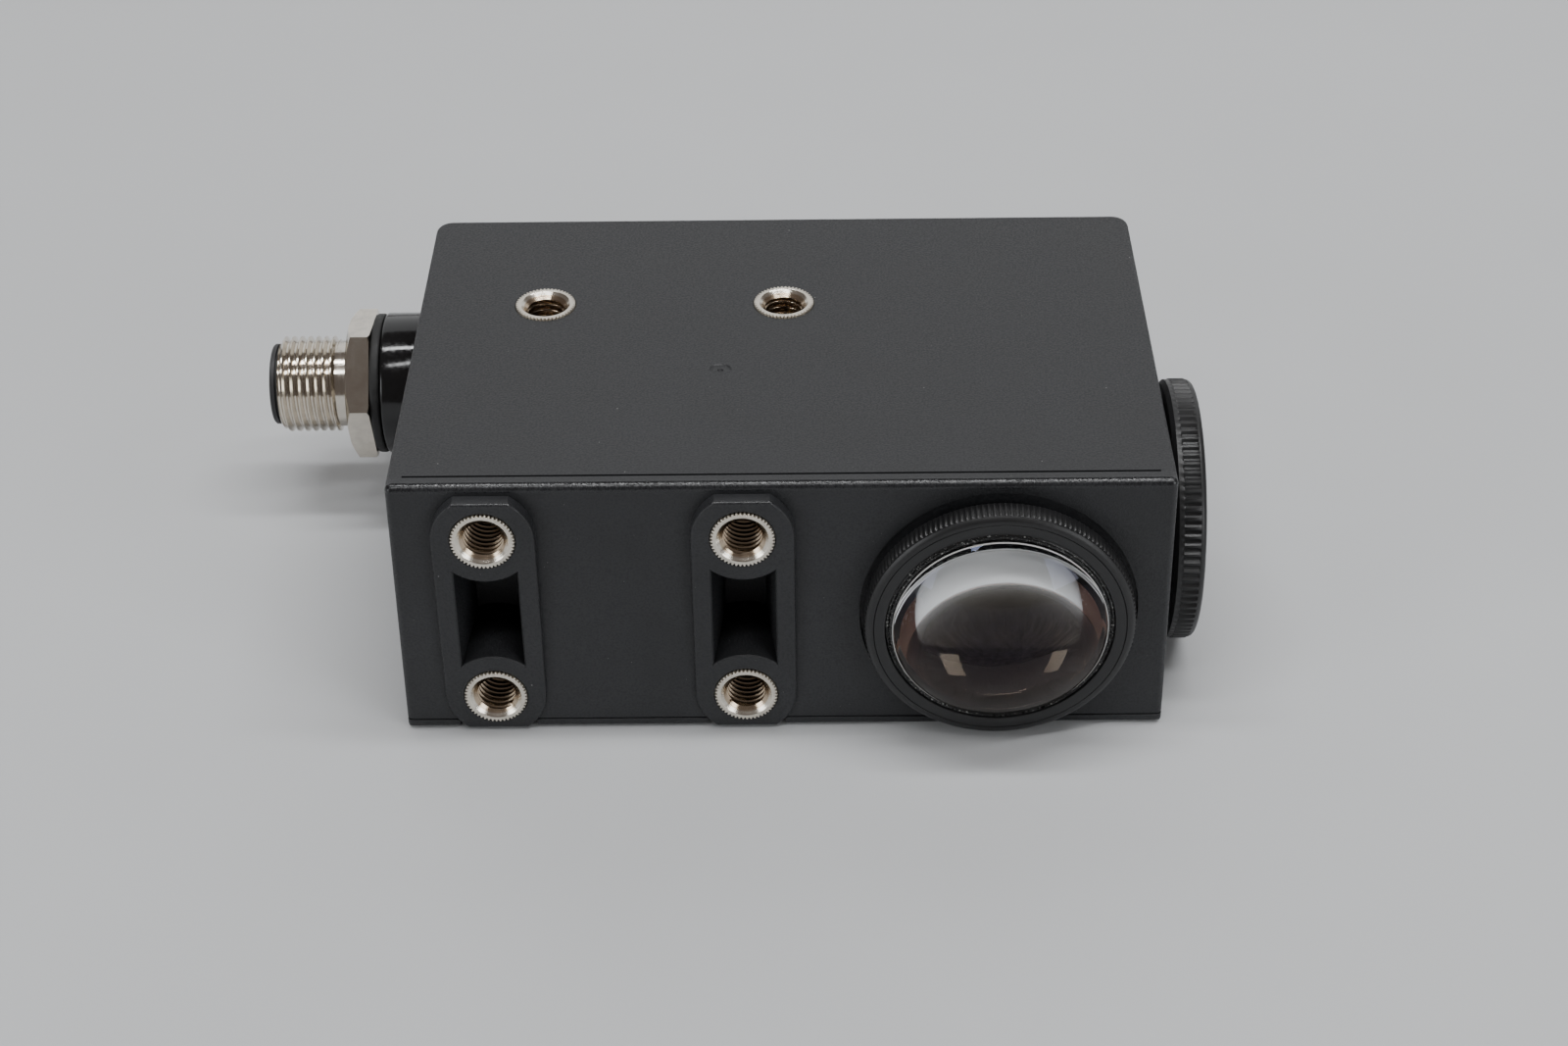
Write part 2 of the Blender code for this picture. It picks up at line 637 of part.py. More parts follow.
def build_connector(sleeve_mat, metal_mat, seal_mat, plastic_mat, pin_mat):
    """M12 connector; distances run along +X from the connector's outer end."""
    axis = (1, 0, 0)
    foot = (PLUG_END_X, PLUG_Y, AXIS_Z)

    def along(x):
        return x - PLUG_END_X

    wall = -LENGTH / 2
    sleeve = [
        (5.4, along(SLEEVE_END_X)),
        (SLEEVE_RADIUS - 0.3, along(SLEEVE_END_X)),
        (SLEEVE_RADIUS, along(SLEEVE_END_X) + 0.3),
        (SLEEVE_RADIUS, along(wall) - GAP),
        (6.8, along(wall) - GAP),
        (6.8, along(-38.0)),
        (5.4, along(-38.0)),
    ]
    make_object("connector_sleeve", turned(sleeve, foot, axis, 28, ring=True), sleeve_mat)

    nut = [(7.1, along(-40.0)), (8.1, along(-40.0)), (8.1, along(-38.2)), (7.1, along(-38.2))]
    nut_obj = make_object("connector_locknut", turned(nut, foot, axis, 24, ring=True), metal_mat)
    cut(nut_obj, box((-41, PLUG_Y - 1.2, AXIS_Z - 9), (-39.2, PLUG_Y + 1.2, AXIS_Z + 9)))

    back = along(SLEEVE_END_X) - GAP
    front = along(HEX_X[1]) + GAP
    seal = [(5.4, front), (SLEEVE_RADIUS - 0.1, front), (SLEEVE_RADIUS - 0.1, back), (5.4, back)]
    make_object("connector_seal", turned(seal, foot, axis, 28, ring=True), seal_mat)

    shell = [(4.9, along(THREAD_END_X)), (THREAD_MINOR, along(THREAD_END_X))]
    crest = along(THREAD_END_X) + THREAD_PITCH / 2
    while crest < along(NECK_X) - 0.4:
        shell.append((THREAD_MAJOR, crest - 0.08))
        shell.append((THREAD_MAJOR, crest + 0.08))
        shell.append((THREAD_MINOR, crest + THREAD_PITCH / 2))
        crest += THREAD_PITCH
    shell += [
        (THREAD_MINOR, along(HEX_X[0]) + 0.5),
        (7.6, along(HEX_X[0]) + 0.5),
        (7.6, along(HEX_X[1])),
        (5.0, along(HEX_X[1])),
        (5.0, along(-40.5)),
        (4.4, along(-40.5)),
        (4.4, along(-54.0)),
        (4.9, along(-54.0)),
    ]
    hexagon = prism(regular_polygon((PLUG_Y, AXIS_Z), HEX_FLATS, 6, HEX_TURN), "X", *HEX_X)
    hex_edges = [edge for edge in hexagon.edges if abs(edge.verts[0].co.x - edge.verts[1].co.x) < 0.01]
    bmesh.ops.bevel(
        hexagon,
        geom=hex_edges,
        offset=0.45,
        segments=1,
        profile=0.5,
        affect="EDGES",
        offset_type="OFFSET",
        material=-1,
    )
    shell_obj = make_object("connector_shell", hexagon, metal_mat)
    relief_end = (HEX_X[0] + 0.4, PLUG_Y, AXIS_Z)
    cut(shell_obj, rod(HEX_RELIEF, (-56, PLUG_Y, AXIS_Z), relief_end, 32))
    add(shell_obj, turned(shell, foot, axis, 24, ring=True))
    cut(shell_obj, rod(4.4, (-56, PLUG_Y, AXIS_Z), (-40, PLUG_Y, AXIS_Z), 32))

    insert = [
        (4.3, 0),
        (4.95, 0),
        (4.95, 0.6),
        (4.6, 0.6),
        (4.6, along(-54.3)),
        (4.1, along(-54.3)),
        (4.1, along(-39.6)),
        (0, along(-39.6)),
        (0, along(-55.6)),
        (4.3, along(-55.6)),
    ]
    insulator = make_object("connector_insulator", turned_cup(insert, foot, axis), plastic_mat)
    places = [(0.0, 0.0)]
    for index in range(4):
        angle = math.radians(45 + 90 * index)
        places.append((PIN_CIRCLE * math.cos(angle), PIN_CIRCLE * math.sin(angle)))
    for index, (dy, dz) in enumerate(places, 1):
        y, z = PLUG_Y + dy, AXIS_Z + dz
        cut(insulator, rod(PIN_RADIUS + GAP, (-57, y, z), (-38, y, z), 12))
        pin = [(0, 0), (PIN_RADIUS * 0.5, 0), (PIN_RADIUS, 0.5), (PIN_RADIUS, 22.4), (0, 22.4)]
        make_object(f"contact_pin_{index}", turned(pin, (-61.0, y, z), axis, 12), pin_mat)


def turned_cup(loop, foot, axis):
    """Spin a closed loop of which one edge lies on the axis."""
    start = next(index for index, point in enumerate(loop) if point[0] == 0)
    ordered = loop[start + 1:] + loop[:start + 1]
    return turned(ordered, foot, axis, 24)


# ---------------------------------------------------------------- control panel

def build_panel(panel_mat, button_mat, light_mat, board_mat, part_mat, screw_mat):
    back = REAR_Y - PANEL_THICK
    low = (PANEL_X[0], back, PANEL_Z[0])
    panel = make_object("control_panel", box(low, (PANEL_X[1], REAR_Y, PANEL_Z[1])), panel_mat)
    z = 16.0
    for index, x in enumerate(BUTTON_X, 1):
        hole = BUTTON_RADIUS + GAP
        cut(panel, rod(hole, (x, 27, z), (x, 31, z), 32))
        foot = (x, REAR_Y + BUTTON_PROUD, z)
        cap = [
            (0, 0),
            (BUTTON_RADIUS - 0.4, 0),
            (BUTTON_RADIUS, 0.4),
            (BUTTON_RADIUS, BUTTON_PROUD + PANEL_THICK + GAP),
            (4.5, BUTTON_PROUD + PANEL_THICK + GAP),
            (4.5, 2.9),
            (1.4, 2.9),
            (1.4, 4.2),
            (0, 4.2),
        ]
        make_object(f"teach_button_{index}", turned(cap, foot, (0, -1, 0), 24), button_mat, foot)
        base = PANEL_BOARD_Y[1] + GAP
        switch = box((x - 3, base, z - 3), (x + 3, base + 1.5, z + 3))
        switch_obj = make_object(f"button_switch_{index}", switch, part_mat)
        add(switch_obj, rod(1.5, (x, base + 1.0, z), (x, 25.6, z), 20))
    for index, x in enumerate(LIGHT_X, 1):
        cut(panel, rod(LIGHT_RADIUS + GAP, (x, 27, z), (x, 31, z), 20))
        pipe = [
            (0, 0),
            (LIGHT_RADIUS - 0.2, 0),
            (LIGHT_RADIUS, 0.2),
            (LIGHT_RADIUS, PANEL_THICK + GAP + 0.1),
            (2.1, PANEL_THICK + GAP + 0.1),
            (2.1, 2.3),
            (LIGHT_RADIUS, 2.3),
            (LIGHT_RADIUS, 4.2),
            (0, 4.2),
        ]
        shape = turned(pipe, (x, REAR_Y + 0.1, z), (0, -1, 0), 16)
        make_object(f"status_light_{index}", shape, light_mat[index - 1])
        base = PANEL_BOARD_Y[1] + GAP
        chip = box((x - 1, base, z - 1), (x + 1, base + 1.0, z + 1))
        make_object(f"status_led_{index}", chip, part_mat)

    low = (PANEL_BOARD_X[0], PANEL_BOARD_Y[0], 5.4)
    board = make_object("panel_board", box(low, (PANEL_BOARD_X[1], PANEL_BOARD_Y[1], 26.6)), board_mat)
    for index, x in enumerate(PANEL_SCREW_X, 1):
        cut(board, rod(1.3, (x, 20, z), (x, 25, z), 16))
        foot = (x, PANEL_BOARD_Y[0] - GAP - 1.1, z)
        screw(f"panel_screw_{index}", (2.0, 1.1), (1.0, 5.6), foot, (0, 1, 0), screw_mat)


# ---------------------------------------------------------------- inside

def build_boards(board_mat, part_mat, screw_mat, flex_mat):
    low = (BOARD_X[0], BOARD_Y[0], BOARD_Z[0])
    board = make_object("main_board", box(low, (BOARD_X[1], BOARD_Y[1], BOARD_Z[1])), board_mat)
    # corner notch that clears the front-left cover post
    x, y = COVER_SCREWS[0]
    cut(board, box((x - 4, y - 4, 5), (x + 3.3, y + 3.3, 9)))
    for index, (x, y) in enumerate(BOARD_SCREWS, 1):
        cut(board, rod(1.3, (x, y, 5), (x, y, 9), 16))
        foot = (x, y, BOARD_Z[0] - GAP - 1.1)
        screw(f"board_screw_{index}", (2.0, 1.1), (1.0, 8.2), foot, (0, 0, 1), screw_mat)
    top = BOARD_Z[1] + GAP
    make_object("processor_chip", box((-20, -9, top), (-8, 3, top + 1.4)), part_mat)

    # flat leads from the main board to the connector, the panel and the optics
    path = [(-37.8, 15.5), (-35.6, 15.5), (-34.6, 14.6), (-34.6, top)]
    make_object("connector_lead", prism(ribbon(path, 0.5), "Y", 16.2, 21.0), flex_mat)
    path = [(21.2, 19.0), (19.2, 18.0), (18.4, 16.0), (18.4, top)]
    make_object("panel_flex", prism(ribbon(path, 0.3), "X", 0.0, 7.5), flex_mat)
    path = [(8.9, 18.0), (6.6, 17.0), (5.6, 15.0), (5.6, top)]
    make_object("receiver_flex", prism(ribbon(path, 0.3), "Y", -12.0, -5.0), flex_mat)
    path = [(17.0, 5.4), (10.0, 5.4), (7.2, 7.6), (7.2, 12.0)]
    make_object("emitter_flex", prism(ribbon(path, 0.3), "Z", 8.0, 12.0), flex_mat)


def build_optics(block_mat, glass_mat, board_mat, part_mat, screw_mat):
    x0, x1 = LENS_X - BLOCK_HALF, LENS_X + BLOCK_HALF
    y0, y1 = CAP_Y - BLOCK_HALF, CAP_Y + BLOCK_HALF
    block = make_object("optics_block", box((x0, y0, BLOCK_Z[0]), (x1, y1, BLOCK_Z[1])), block_mat)
    low = (LENS_X - CHAMBER_HALF, CAP_Y - CHAMBER_HALF, CHAMBER_Z[0])
    high = (LENS_X + CHAMBER_HALF, CAP_Y + CHAMBER_HALF, CHAMBER_Z[1])
    cut(block, box(low, high))
    inner = CHAMBER_HALF - 0.5
    outer = BLOCK_HALF + 1
    centre = Vector((LENS_X, CAP_Y, AXIS_Z))
    for axis in ((0, -1, 0), (1, 0, 0)):
        toward = Vector(axis)
        cut(block, rod(BLOCK_BORE, centre + toward * inner, centre + toward * outer, 28))
    for axis, shoulder, window in (((0, 1, 0), EMITTER_SHOULDER, 6.0), ((-1, 0, 0), RECEIVER_SHOULDER, 5.0)):
        port = [
            (0, inner),
            (BLOCK_BORE, inner),
            (BLOCK_BORE, shoulder),
            (window, shoulder),
            (window, outer),
            (0, outer),
        ]
        cut(block, turned(port, centre, axis, 28))

    turn = Matrix.Rotation(math.radians(-45), 3, "Z")

    def diagonal(length, thickness, low, high):
        bm = box((-length / 2, -thickness / 2, low), (length / 2, thickness / 2, high))
        bmesh.ops.rotate(bm, verts=bm.verts, cent=(0, 0, 0), matrix=turn)
        bmesh.ops.translate(bm, verts=bm.verts, vec=(LENS_X, CAP_Y, 0))
        return bm

    length, thickness = SPLITTER_SIZE
    slot = diagonal(length + 0.8, thickness + 0.7, SPLITTER_Z[0] - GAP, BLOCK_Z[1] + 1)
    cut(block, slot)
    make_object("beam_splitter", diagonal(length, thickness, *SPLITTER_Z), glass_mat)

    for index, (x, y) in enumerate(OPTICS_SCREWS, 1):
        cut(block, rod(1.3, (x, y, 3), (x, y, 28), 16))
        foot = (x, y, BLOCK_Z[0] - GAP - 1.1)
        screw(f"optics_screw_{index}", (1.9, 1.1), (1.0, 24.8), foot, (0, 0, 1), screw_mat)

    bulge = [(0, 0), (2.6, 0.12), (5.2, 0.5), (7.7, 1.1), (7.7, 1.7), (0, 1.7)]
    for name, axis, shoulder in (
        ("condenser_lens", (0, 1, 0), EMITTER_SHOULDER),
        ("receiver_lens", (-1, 0, 0), RECEIVER_SHOULDER),
    ):
        foot = centre + Vector(axis) * (shoulder - GAP - 1.7)
        make_object(name, turned(bulge, foot, axis, 20), glass_mat)

    low = (LENS_X - 8.5, y1 + 0.4, 8.0)
    make_object("emitter_board", box(low, (LENS_X + 8.5, y1 + 2.0, 23.0)), board_mat)
    low = (LENS_X - 1.6, y1 - 1.2, AXIS_Z - 1.6)
    make_object("emitter_led", box(low, (LENS_X + 1.6, y1 + 0.1, AXIS_Z + 1.6)), part_mat)
    low = (x0 - 2.0, CAP_Y - 7.5, 9.0)
    make_object("receiver_board", box(low, (x0 - 0.4, CAP_Y + 7.5, 23.0)), board_mat)
    low = (x0 - 0.1, CAP_Y - 2.2, AXIS_Z - 2.2)
    make_object("photodiode", box(low, (x0 + 1.2, CAP_Y + 2.2, AXIS_Z + 2.2)), part_mat)


def main():
    for obj in list(bpy.data.objects):
        bpy.data.objects.remove(obj, do_unlink=True)

    black = material("black_moulding", (0.022, 0.023, 0.025), 0.62)
    satin = material("satin_black_ring", (0.012, 0.012, 0.013), 0.42)
    gloss = material("gloss_black_sleeve", (0.006, 0.006, 0.007), 0.12)
    rubber = material("seal_rubber", (0.01, 0.01, 0.01), 0.75)
    nickel = material("nickel_plating", (0.71, 0.67, 0.60), 0.22, 1.0)
    steel = material("screw_steel", (0.45, 0.45, 0.46), 0.35, 1.0)
    gold = material("contact_gold", (0.83, 0.62, 0.26), 0.25, 1.0)
    glass = material("optical_glass", (0.95, 0.97, 0.98), 0.02, 0.0, 0.35)
    board = material("circuit_board", (0.03, 0.16, 0.07), 0.5)
    chip = material("component_black", (0.03, 0.03, 0.03), 0.5)
    flex = material("flex_lead_amber", (0.35, 0.17, 0.04), 0.4)
    button = material("button_rubber", (0.10, 0.10, 0.11), 0.6)
    panel = material("panel_plastic", (0.035, 0.036, 0.040), 0.35)
    green = material("status_green", (0.10, 0.60, 0.15), 0.2)
    amber = material("status_amber", (0.85, 0.45, 0.05), 0.2)

    build_housing(black)
    build_cover(black, rubber, steel)
    build_inserts(nickel)
    build_lens(satin, glass, rubber)
    build_cap(satin, rubber)
    build_connector(gloss, nickel, rubber, black, gold)
    build_panel(panel, button, (green, amber), board, chip, steel)
    build_boards(board, chip, steel, flex)
    build_optics(black, glass, board, chip, steel)


main()
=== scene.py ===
import math

import bmesh
import bpy
from mathutils import Matrix, Vector


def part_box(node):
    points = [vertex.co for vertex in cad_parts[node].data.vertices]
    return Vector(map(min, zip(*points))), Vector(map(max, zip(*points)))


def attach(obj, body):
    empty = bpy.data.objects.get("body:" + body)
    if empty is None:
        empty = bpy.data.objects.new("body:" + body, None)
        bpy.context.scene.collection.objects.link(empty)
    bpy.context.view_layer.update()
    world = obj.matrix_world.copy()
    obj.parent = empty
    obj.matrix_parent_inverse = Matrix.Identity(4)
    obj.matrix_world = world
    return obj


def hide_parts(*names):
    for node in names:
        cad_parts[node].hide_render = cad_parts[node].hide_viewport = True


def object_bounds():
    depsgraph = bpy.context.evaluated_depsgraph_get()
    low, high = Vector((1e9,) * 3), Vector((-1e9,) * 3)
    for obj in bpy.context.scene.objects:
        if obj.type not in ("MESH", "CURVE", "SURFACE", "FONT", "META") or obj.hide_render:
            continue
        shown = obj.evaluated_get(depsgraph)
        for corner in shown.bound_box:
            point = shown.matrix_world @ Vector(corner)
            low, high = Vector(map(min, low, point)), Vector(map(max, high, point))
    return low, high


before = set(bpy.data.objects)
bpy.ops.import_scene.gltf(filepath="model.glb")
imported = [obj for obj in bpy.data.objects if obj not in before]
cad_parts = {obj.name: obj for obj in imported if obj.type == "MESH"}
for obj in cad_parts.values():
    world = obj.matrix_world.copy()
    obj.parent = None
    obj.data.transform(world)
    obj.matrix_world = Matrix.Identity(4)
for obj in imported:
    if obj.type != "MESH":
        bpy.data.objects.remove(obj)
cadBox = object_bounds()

mm = 0.001  # all shapes below are drawn in millimetres
up = (0, 0, 1)
print("scanner: frame loaded,", len(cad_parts), "nodes")


# small tools for shapes

def nodeBox(name):
    low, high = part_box(name)
    return low / mm, high / mm


def nodeCentre(name):
    low, high = nodeBox(name)
    return (low + high) / 2


def nodeCentres(stem, count):
    return [nodeCentre(f"{stem}_{number}") for number in range(1, count + 1)]


def softened(points, closed=True, steps=3):
    # corners given as (x, y, radius) turn into arcs, corners given as (x, y) stay sharp
    path = []
    for index, point in enumerate(points):
        here = Vector(point[:2])
        atEnd = not closed and index in (0, len(points) - 1)
        if len(point) < 3 or atEnd:
            path.append(tuple(here))
            continue
        before = (Vector(points[index - 1][:2]) - here).normalized()
        after = (Vector(points[(index + 1) % len(points)][:2]) - here).normalized()
        half = before.angle(after) / 2
        centre = here + (before + after).normalized() * point[2] / math.sin(half)
        reach = point[2] / math.tan(half)
        start = here + before * reach - centre
        end = here + after * reach - centre
        first = math.atan2(start.y, start.x)
        sweep = (math.atan2(end.y, end.x) - first + math.pi) % (2 * math.pi) - math.pi
        for step in range(steps + 1):
            angle = first + sweep * step / steps
            path.append((centre.x + point[2] * math.cos(angle), centre.y + point[2] * math.sin(angle)))
    return path


def turned(profile, steps, ring=False):
    # (radius, height) points spun about Z
    bm = bmesh.new()
    verts = [bm.verts.new((radius, 0, height)) for radius, height in profile]
    edges = [bm.edges.new(pair) for pair in zip(verts, verts[1:])]
    if ring:
        edges.append(bm.edges.new((verts[-1], verts[0])))
    bmesh.ops.spin(
        bm,
        geom=verts + edges,
        cent=(0, 0, 0),
        axis=up,
        angle=2 * math.pi,
        steps=steps,
        use_merge=True,
    )
    bmesh.ops.remove_doubles(bm, verts=bm.verts, dist=1e-4)
    bmesh.ops.recalc_face_normals(bm, faces=bm.faces)
    return bm


def placed(bm, foot, axis=up, turn=0.0):
    # Z of the drawing goes to `axis`, its origin to `foot`
    spin = Matrix.Rotation(math.radians(turn), 3, "Z")
    lean = Vector(up).rotation_difference(Vector(axis)).to_matrix()
    bmesh.ops.rotate(bm, verts=bm.verts, cent=(0, 0, 0), matrix=lean @ spin)
    bmesh.ops.translate(bm, verts=bm.verts, vec=foot)
    return bm


def ringAbout(profile, foot, axis, steps=96):
    # a closed (radius, height) outline spun about an axis through `foot`
    return placed(turned(profile, steps, ring=True), foot, axis)


def rod(radius, start, end, steps=32):
    length = (Vector(end) - Vector(start)).length
    profile = [(0, 0), (radius, 0), (radius, length), (0, length)]
    return placed(turned(profile, steps), start, Vector(end) - Vector(start))


def block(low, high):
    bm = bmesh.new()
    bmesh.ops.create_cube(bm, size=1.0)
    bmesh.ops.scale(bm, verts=bm.verts, vec=Vector(high) - Vector(low))
    bmesh.ops.translate(bm, verts=bm.verts, vec=(Vector(high) + Vector(low)) / 2)
    return bm


def prism(outline, direction, low, high):
    # outline in (y, z) for X, (x, z) for Y and (x, y) for Z
    order = {
        "X": lambda a, b, c: (c, a, b),
        "Y": lambda a, b, c: (a, c, b),
        "Z": lambda a, b, c: (a, b, c),
    }[direction]
    bm = bmesh.new()
    face = bm.faces.new([bm.verts.new(order(a, b, low)) for a, b in outline])
    grown = bmesh.ops.extrude_face_region(bm, geom=[face])
    moved = [item for item in grown["geom"] if isinstance(item, bmesh.types.BMVert)]
    bmesh.ops.translate(bm, verts=moved, vec=order(0, 0, high - low))
    bmesh.ops.recalc_face_normals(bm, faces=bm.faces)
    return bm


def arc(centre, radius, start, end, steps):
    points = []
    for index in range(steps + 1):
        angle = math.radians(start + (end - start) * index / steps)
        points.append((centre[0] + radius * math.cos(angle), centre[1] + radius * math.sin(angle)))
    return points


def rounded(bm, chosen, radius, steps):
    # bevels the edges that `chosen` accepts
    edges = [edge for edge in bm.edges if chosen(edge)]
    bmesh.ops.bevel(
        bm,
        geom=edges,
        offset=radius,
        segments=steps,
        profile=0.5,
        affect="EDGES",
        offset_type="OFFSET",
        material=-1,
    )
    return bm


def upright(edge):
    # accepts the edges that stand, however much they lean in y
    a, b = (vert.co for vert in edge.verts)
    return abs(a.z - b.z) > 0.5 and abs(a.x - b.x) < 0.01


def liesAt(axis, place):
    # accepts the edges in one plane; axis is 0, 1 or 2 for X, Y or Z
    return lambda edge: all(abs(vert.co[axis] - place) < 0.01 for vert in edge.verts)


def runsAlong(axis, length):
    # accepts the edges that reach further than `length` along an axis
    return lambda edge: abs(edge.verts[0].co[axis] - edge.verts[1].co[axis]) > length


def combined(bm, steps):
    # exact Booleans in order, each given as (operation, tool)
    base = bpy.data.objects.new("work", bpy.data.meshes.new("work"))
    bm.to_mesh(base.data)
    bm.free()
    bpy.context.scene.collection.objects.link(base)
    made = [base]
    for operation, shape in steps:
        tool = bpy.data.objects.new("tool", bpy.data.meshes.new("tool"))
        shape.to_mesh(tool.data)
        shape.free()
        bpy.context.scene.collection.objects.link(tool)
        made.append(tool)
        modifier = base.modifiers.new("step", "BOOLEAN")
        modifier.operation = operation
        modifier.solver = "EXACT"
        modifier.object = tool
    result = bmesh.new()
    result.from_object(base, bpy.context.evaluated_depsgraph_get())
    assert result.faces, "a Boolean left nothing"
    for obj in made:
        data = obj.data
        bpy.data.objects.remove(obj)
        bpy.data.meshes.remove(data)
    return result


def cuts(*shapes):
    return [("DIFFERENCE", shape) for shape in shapes]


def joins(*shapes):
    return [("UNION", shape) for shape in shapes]


def toothed(bm, teeth, depth, low, high, outer):
    # presses straight knurling into the band between two heights of a turned shape
    for vert in bm.verts:
        radius = math.hypot(vert.co.x, vert.co.y)
        if low - 1e-3 < vert.co.z < high + 1e-3 and radius > outer - 1e-3:
            phase = (math.atan2(vert.co.y, vert.co.x) * teeth / (2 * math.pi)) % 1.0
            if 0.4 < phase < 0.9:
                shrink = (radius - depth) / radius
                vert.co.x *= shrink
                vert.co.y *= shrink
    return bm


def helix(section, pitch, turns, steps):
    # sweeps a closed (radius, height) section up a helix about Z, and caps both ends
    bm = bmesh.new()
    verts = [bm.verts.new((radius, 0, height)) for radius, height in section]
    face = bm.faces.new(verts)
    bmesh.ops.spin(
        bm,
        geom=[face],
        cent=(0, 0, 0),
        axis=up,
        dvec=(0, 0, pitch / steps),
        angle=2 * math.pi * turns,
        steps=int(steps * turns),
        use_merge=False,
    )
    bmesh.ops.recalc_face_normals(bm, faces=bm.faces)
    return bm


def aboutAxis(point, foot, axis):
    # distances in millimetres from an axis and along it, for a point of a finished mesh
    reach = point / mm - Vector(foot)
    along = reach.dot(Vector(axis))
    return (reach - Vector(axis) * along).length, along


def latheMap(mesh, foot, axis):
    # a UV map for turning marks
    layer = mesh.uv_layers.new(name="lathe")
    for loop in mesh.loops:
        layer.data[loop.index].uv = aboutAxis(mesh.vertices[loop.vertex_index].co, foot, axis)


def finished(name, bm, body, mat, nodes, lathe=None, sharp=30, even=False):
    # makes the piece, in metres, and hangs it on its body; `lathe` is (foot, axis)
    bmesh.ops.scale(bm, verts=bm.verts, vec=(mm, mm, mm))
    mesh = bpy.data.meshes.new(name)
    bm.to_mesh(mesh)
    bm.free()
    mesh.shade_smooth()
    mesh.set_sharp_from_angle(angle=math.radians(sharp))
    obj = bpy.data.objects.new(name, mesh)
    bpy.context.scene.collection.objects.link(obj)
    if lathe:
        latheMap(mesh, *lathe)
    mesh.materials.append(mat)
    if even:
        weights = obj.modifiers.new("evenShading", "WEIGHTED_NORMAL")
        weights.keep_sharp = True
    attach(obj, body)
    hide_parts(*nodes)
    return obj


def paint(obj, mat, chosen, foot, axis):
    # a second finish on the faces that `chosen` accepts by their distances from and along an axis
    obj.data.materials.append(mat)
    for face in obj.data.polygons:
        if chosen(*aboutAxis(face.center, foot, axis)):
            face.material_index = len(obj.data.materials) - 1


# small tools for materials

def addNode(tree, kind, inputs=None, **settings):
    # each input takes a value or another node's output
    made = tree.nodes.new("ShaderNode" + kind)
    for key, value in settings.items():
        setattr(made, key, value)
    for key, value in (inputs or {}).items():
        socket = made.inputs[key]
        if isinstance(value, bpy.types.NodeSocket):
            tree.links.new(value, socket)
        else:
            socket.default_value = value
    return made.outputs


def startMaterial(name, colour, **sockets):
    mat = bpy.data.materials.new(name)
    mat.use_nodes = True
    tree = mat.node_tree
    shader = tree.nodes["Principled BSDF"]
    shader.inputs["Base Color"].default_value = (*colour, 1)
    for key, value in sockets.items():
        shader.inputs[key].default_value = value
    coordinates = addNode(tree, "TexCoord")["Object"]
    where = addNode(tree, "Mapping", {"Vector": coordinates, "Scale": (1000, 1000, 1000)})["Vector"]
    return mat, tree, shader, where


def noise(tree, where, size, detail=2.0, rough=0.5):
    # cloudy values about 0.5; `size` is the width of one blotch in millimetres
    inputs = {"Vector": where, "Scale": 1 / size, "Detail": detail, "Roughness": rough}
    return addNode(tree, "TexNoise", inputs)["Fac"]


def remap(tree, value, fromLow, fromHigh, toLow, toHigh):
    inputs = {
        "Value": value,
        "From Min": fromLow,
        "From Max": fromHigh,
        "To Min": toLow,
        "To Max": toHigh,
    }
    return addNode(tree, "MapRange", inputs)["Result"]


def mixed(tree, amount, first, second):
    return addNode(tree, "MixRGB", {"Fac": amount, "Color1": first, "Color2": second})["Color"]


def calculate(tree, operation, first, second):
    return addNode(tree, "Math", {0: first, 1: second}, operation=operation)["Value"]


def bump(tree, height, depth, strength=1.0, below=None):
    inputs = {"Height": height, "Distance": depth * mm, "Strength": strength}
    if below is not None:
        inputs["Normal"] = below
    return addNode(tree, "Bump", inputs)["Normal"]


def feed(tree, shader, colour, roughness, normal):
    tree.links.new(colour, shader.inputs["Base Color"])
    tree.links.new(roughness, shader.inputs["Roughness"])
    tree.links.new(normal, shader.inputs["Normal"])


def specks(tree, where, spacing, size):
    # 1 inside small scattered specks, 0 elsewhere
    cells = addNode(tree, "TexVoronoi", {"Vector": where, "Scale": 1 / spacing, "Randomness": 1.0})
    edge = size / spacing
    return remap(tree, cells["Distance"], edge * 0.6, edge, 1.0, 0.0)


def mouldedPlastic(name, values, mottle=0.05, rubbed=()):
    # grained moulding with clouded gloss, rubbed stretches and a little dust
    colour, spread, (grainSize, grainDepth), gloss, (dust, spacing, size) = values
    mat, tree, shader, where = startMaterial(name, colour)
    grain = noise(tree, where, grainSize, 3.0)
    cloud = noise(tree, where, 9.0, 4.0, 0.6)
    paler = tuple(channel * spread for channel in colour)
    base = mixed(tree, remap(tree, cloud, 0.35, 0.7, 0.0, 1.0), (*colour, 1), (*paler, 1))
    large = specks(tree, where, spacing, size)
    small = specks(tree, where, spacing * 0.4, size * 0.45)
    amount = calculate(tree, "MULTIPLY", calculate(tree, "MAXIMUM", large, small), dust)
    clouded = remap(tree, cloud, 0.3, 0.7, *gloss)
    rough = calculate(tree, "ADD", clouded, remap(tree, grain, 0.35, 0.65, -mottle, mottle))
    spot = addNode(tree, "SeparateXYZ", {"Vector": where})
    for ahead, above, polish in rubbed:
        front = remap(tree, spot["Y"], ahead, ahead + 0.1, 1.0, 0.0)
        top = remap(tree, spot["Z"], above, above + 0.1, 0.0, polish)
        rough = calculate(tree, "SUBTRACT", rough, calculate(tree, "MULTIPLY", front, top))
    dusty = mixed(tree, amount, base, (0.34, 0.34, 0.33, 1))
    feed(tree, shader, dusty, rough, bump(tree, grain, grainDepth))
    return mat


